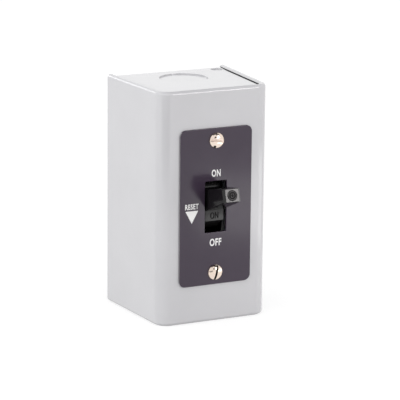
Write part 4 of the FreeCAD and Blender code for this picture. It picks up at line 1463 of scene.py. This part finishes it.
@dataclass(frozen=True)
class Card(Hanging):
    """A dark studio card that only reflections show."""

    shades: Pair = (0.01, 0.015)
    grain: float = 20.0
    roughness: float = 0.9

    def hang(self, aim: Vector) -> None:
        """Puts the card in the scene.

        Args:
            aim: The point that it faces.
        """
        mesh = Shape.sheet(self.name, self.size)
        place, turn = self.pose(aim)
        mesh.transform(Matrix.Translation(place) @ turn.to_matrix().to_4x4())
        bench = Bench(self.name)
        low, high = ((shade,) * 3 for shade in self.shades)
        bench.feed("Base Color", bench.blend(bench.noise(self.grain), low, high))
        bench.feed("Roughness", self.roughness)
        mesh.materials.append(bench.material)
        card = Shape.holder(mesh, self.name)
        for seen_by in ("camera", "diffuse", "transmission", "shadow"):
            setattr(card, "visible_" + seen_by, False)


@dataclass(frozen=True)
class Studio:
    """Floor, world, lights and camera."""

    floor_level: float = -53.2
    floor_side: float = 8.0
    floor_bounce: float = 0.50
    floor_glow: float = 0.62
    floor_shade: float = 0.46
    ambient: float = 0.73
    lamps: tuple[Lamp, ...] = (
        Lamp("overhead", -25.0, 75.0, 1.3, (1.0, 1.0), 0.4),
        Lamp("left_bank", -92.0, 15.0, 1.2, (0.8, 0.8), 2.5),
        Lamp("front_bank", -50.0, 4.0, 1.2, (0.6, 0.6), 2.1),
        Lamp("right_bank", 60.0, 6.0, 1.2, (0.6, 0.6), 1.1),
        Lamp("right_box", 26.0, 15.5, 1.1, (0.24, 0.30), 8.0, True, (1.0, 0.955, 0.965)),
        Lamp("bounce", 31.0, -14.0, 0.187, (0.070, 0.044), 1.5, True),
        Lamp("side_bounce", 60.6, -11.0, 0.156, (0.080, 0.045), 1.5, True),
        Lamp("back_box", -154.0, 18.0, 1.2, (0.40, 0.36), 2.5, True),
        Lamp("backdrop_box", 153.6, 15.0, 1.6, (1.3, 0.7), 0.29, True),
    )
    cards: tuple[Card, ...] = (
        Card("ceiling_card", -10.0, 82.0, 1.5, (1.5, 1.5)),
        Card("brow_card", 36.0, 47.0, 1.4, (0.9, 0.5)),
        Card("rear_card", 133.0, 54.0, 1.2, (0.7, 0.7)),
        Card("front_card", 4.0, 19.0, 1.15, (0.34, 0.30)),
        Card("lens_card", -36.0, -6.0, 0.32, (0.36, 0.065)),
    )
    focal_px: float = 2395.7
    image_px: float = 400.0
    sensor: float = 36.0
    clip: Pair = (0.05, 20.0)
    azimuth: float = -26.447
    elevation: float = 13.814
    roll: float = 0.588
    distance: float = 1087.5
    aim: Point = (0.0, -25.65, 0.0)
    aim_right: float = 4.884
    aim_up: float = -2.928

    @staticmethod
    def split(kit: NodeKit, output: str, falling: Socket, seen: Socket) -> None:
        """Ends a tree in one shader for the light on the part and another for what is seen.

        Args:
            kit: The material's or world's tree.
            output: The type of its output node.
            falling: The shader of the light that falls on the part.
            seen: The shader for camera, glossy and transmission rays.
        """
        rays = kit.node("ShaderNodeLightPath").outputs
        factor = rays["Is Camera Ray"]
        for ray in ("Is Glossy Ray", "Is Transmission Ray"):
            factor = kit.step("ShaderNodeMath", "Value", {0: factor, 1: rays[ray]},
                              operation="MAXIMUM")
        mixed = kit.step("ShaderNodeMixShader", "Shader", {"Fac": factor, 1: falling, 2: seen})
        kit.node(output, {"Surface": mixed})

    def lay_floor(self) -> None:
        """Lays the pale floor that keeps the part's shadow."""
        mesh = Shape.sheet("floor", (self.floor_side, self.floor_side))
        mesh.transform(Matrix.Translation((0.0, 0.0, self.floor_level * MM)))
        floor = Shape.holder(mesh, "floor")
        material = bpy.data.materials.new("floor")
        material.use_nodes = True
        kit = NodeKit(material.node_tree)
        bounce, shade = (kit.step("ShaderNodeBsdfDiffuse", "BSDF", {"Color": grey(level)})
                         for level in (self.floor_bounce, self.floor_shade))
        glow = kit.step("ShaderNodeEmission", "Emission", {"Strength": self.floor_glow})
        seen = kit.step("ShaderNodeAddShader", "Shader", {0: shade, 1: glow})
        self.split(kit, "ShaderNodeOutputMaterial", bounce, seen)
        mesh.materials.append(material)

    def fill_world(self) -> None:
        """Sets the white surround and the even light that comes from it."""
        world = bpy.data.worlds.new("studio")
        world.use_nodes = True
        kit = NodeKit(world.node_tree)
        even, white = (kit.step("ShaderNodeBackground", "Background",
                                {"Color": grey(1.0), "Strength": strength})
                       for strength in (self.ambient, 1.0))
        self.split(kit, "ShaderNodeOutputWorld", even, white)
        bpy.context.scene.world = world

    def set_camera(self) -> None:
        """Puts the camera where the photograph was taken from."""
        turn, roll = math.radians(self.azimuth), math.radians(self.roll)
        back = pointing(self.azimuth, self.elevation)
        level_right = Vector((math.cos(turn), math.sin(turn), 0.0))
        level_up = back.cross(level_right)
        right = level_right * math.cos(roll) + level_up * math.sin(roll)
        up = level_up * math.cos(roll) - level_right * math.sin(roll)
        data = bpy.data.cameras.new("camera")
        data.sensor_width = self.sensor
        data.lens = self.focal_px * self.sensor / self.image_px
        data.clip_start, data.clip_end = self.clip
        camera = Shape.holder(data, "camera")
        target = Vector(self.aim) + right * self.aim_right + up * self.aim_up
        pose = Matrix((right, up, back)).transposed().to_4x4()
        pose.translation = (target + back * self.distance) * MM
        camera.matrix_world = pose
        bpy.context.scene.camera = camera

    def build(self) -> None:
        """Sets up the whole studio."""
        bpy.context.scene.view_settings.view_transform = "Standard"
        self.lay_floor()
        self.fill_world()
        for hanging in (*self.lamps, *self.cards):
            hanging.hang(Vector(self.aim) * MM)
        self.set_camera()


def main() -> None:
    """Builds the part's dress and the studio."""
    logging.basicConfig(level=logging.INFO, format="%(name)s: %(message)s")
    finishes = Finishes()
    Cover().build(finishes)
    Nameplate().build(finishes)
    Handle().build(finishes)
    for group in FASTENERS:
        group.build(finishes)
    Works.dress(finishes)
    Studio().build()


if __name__ == "__main__":
    main()
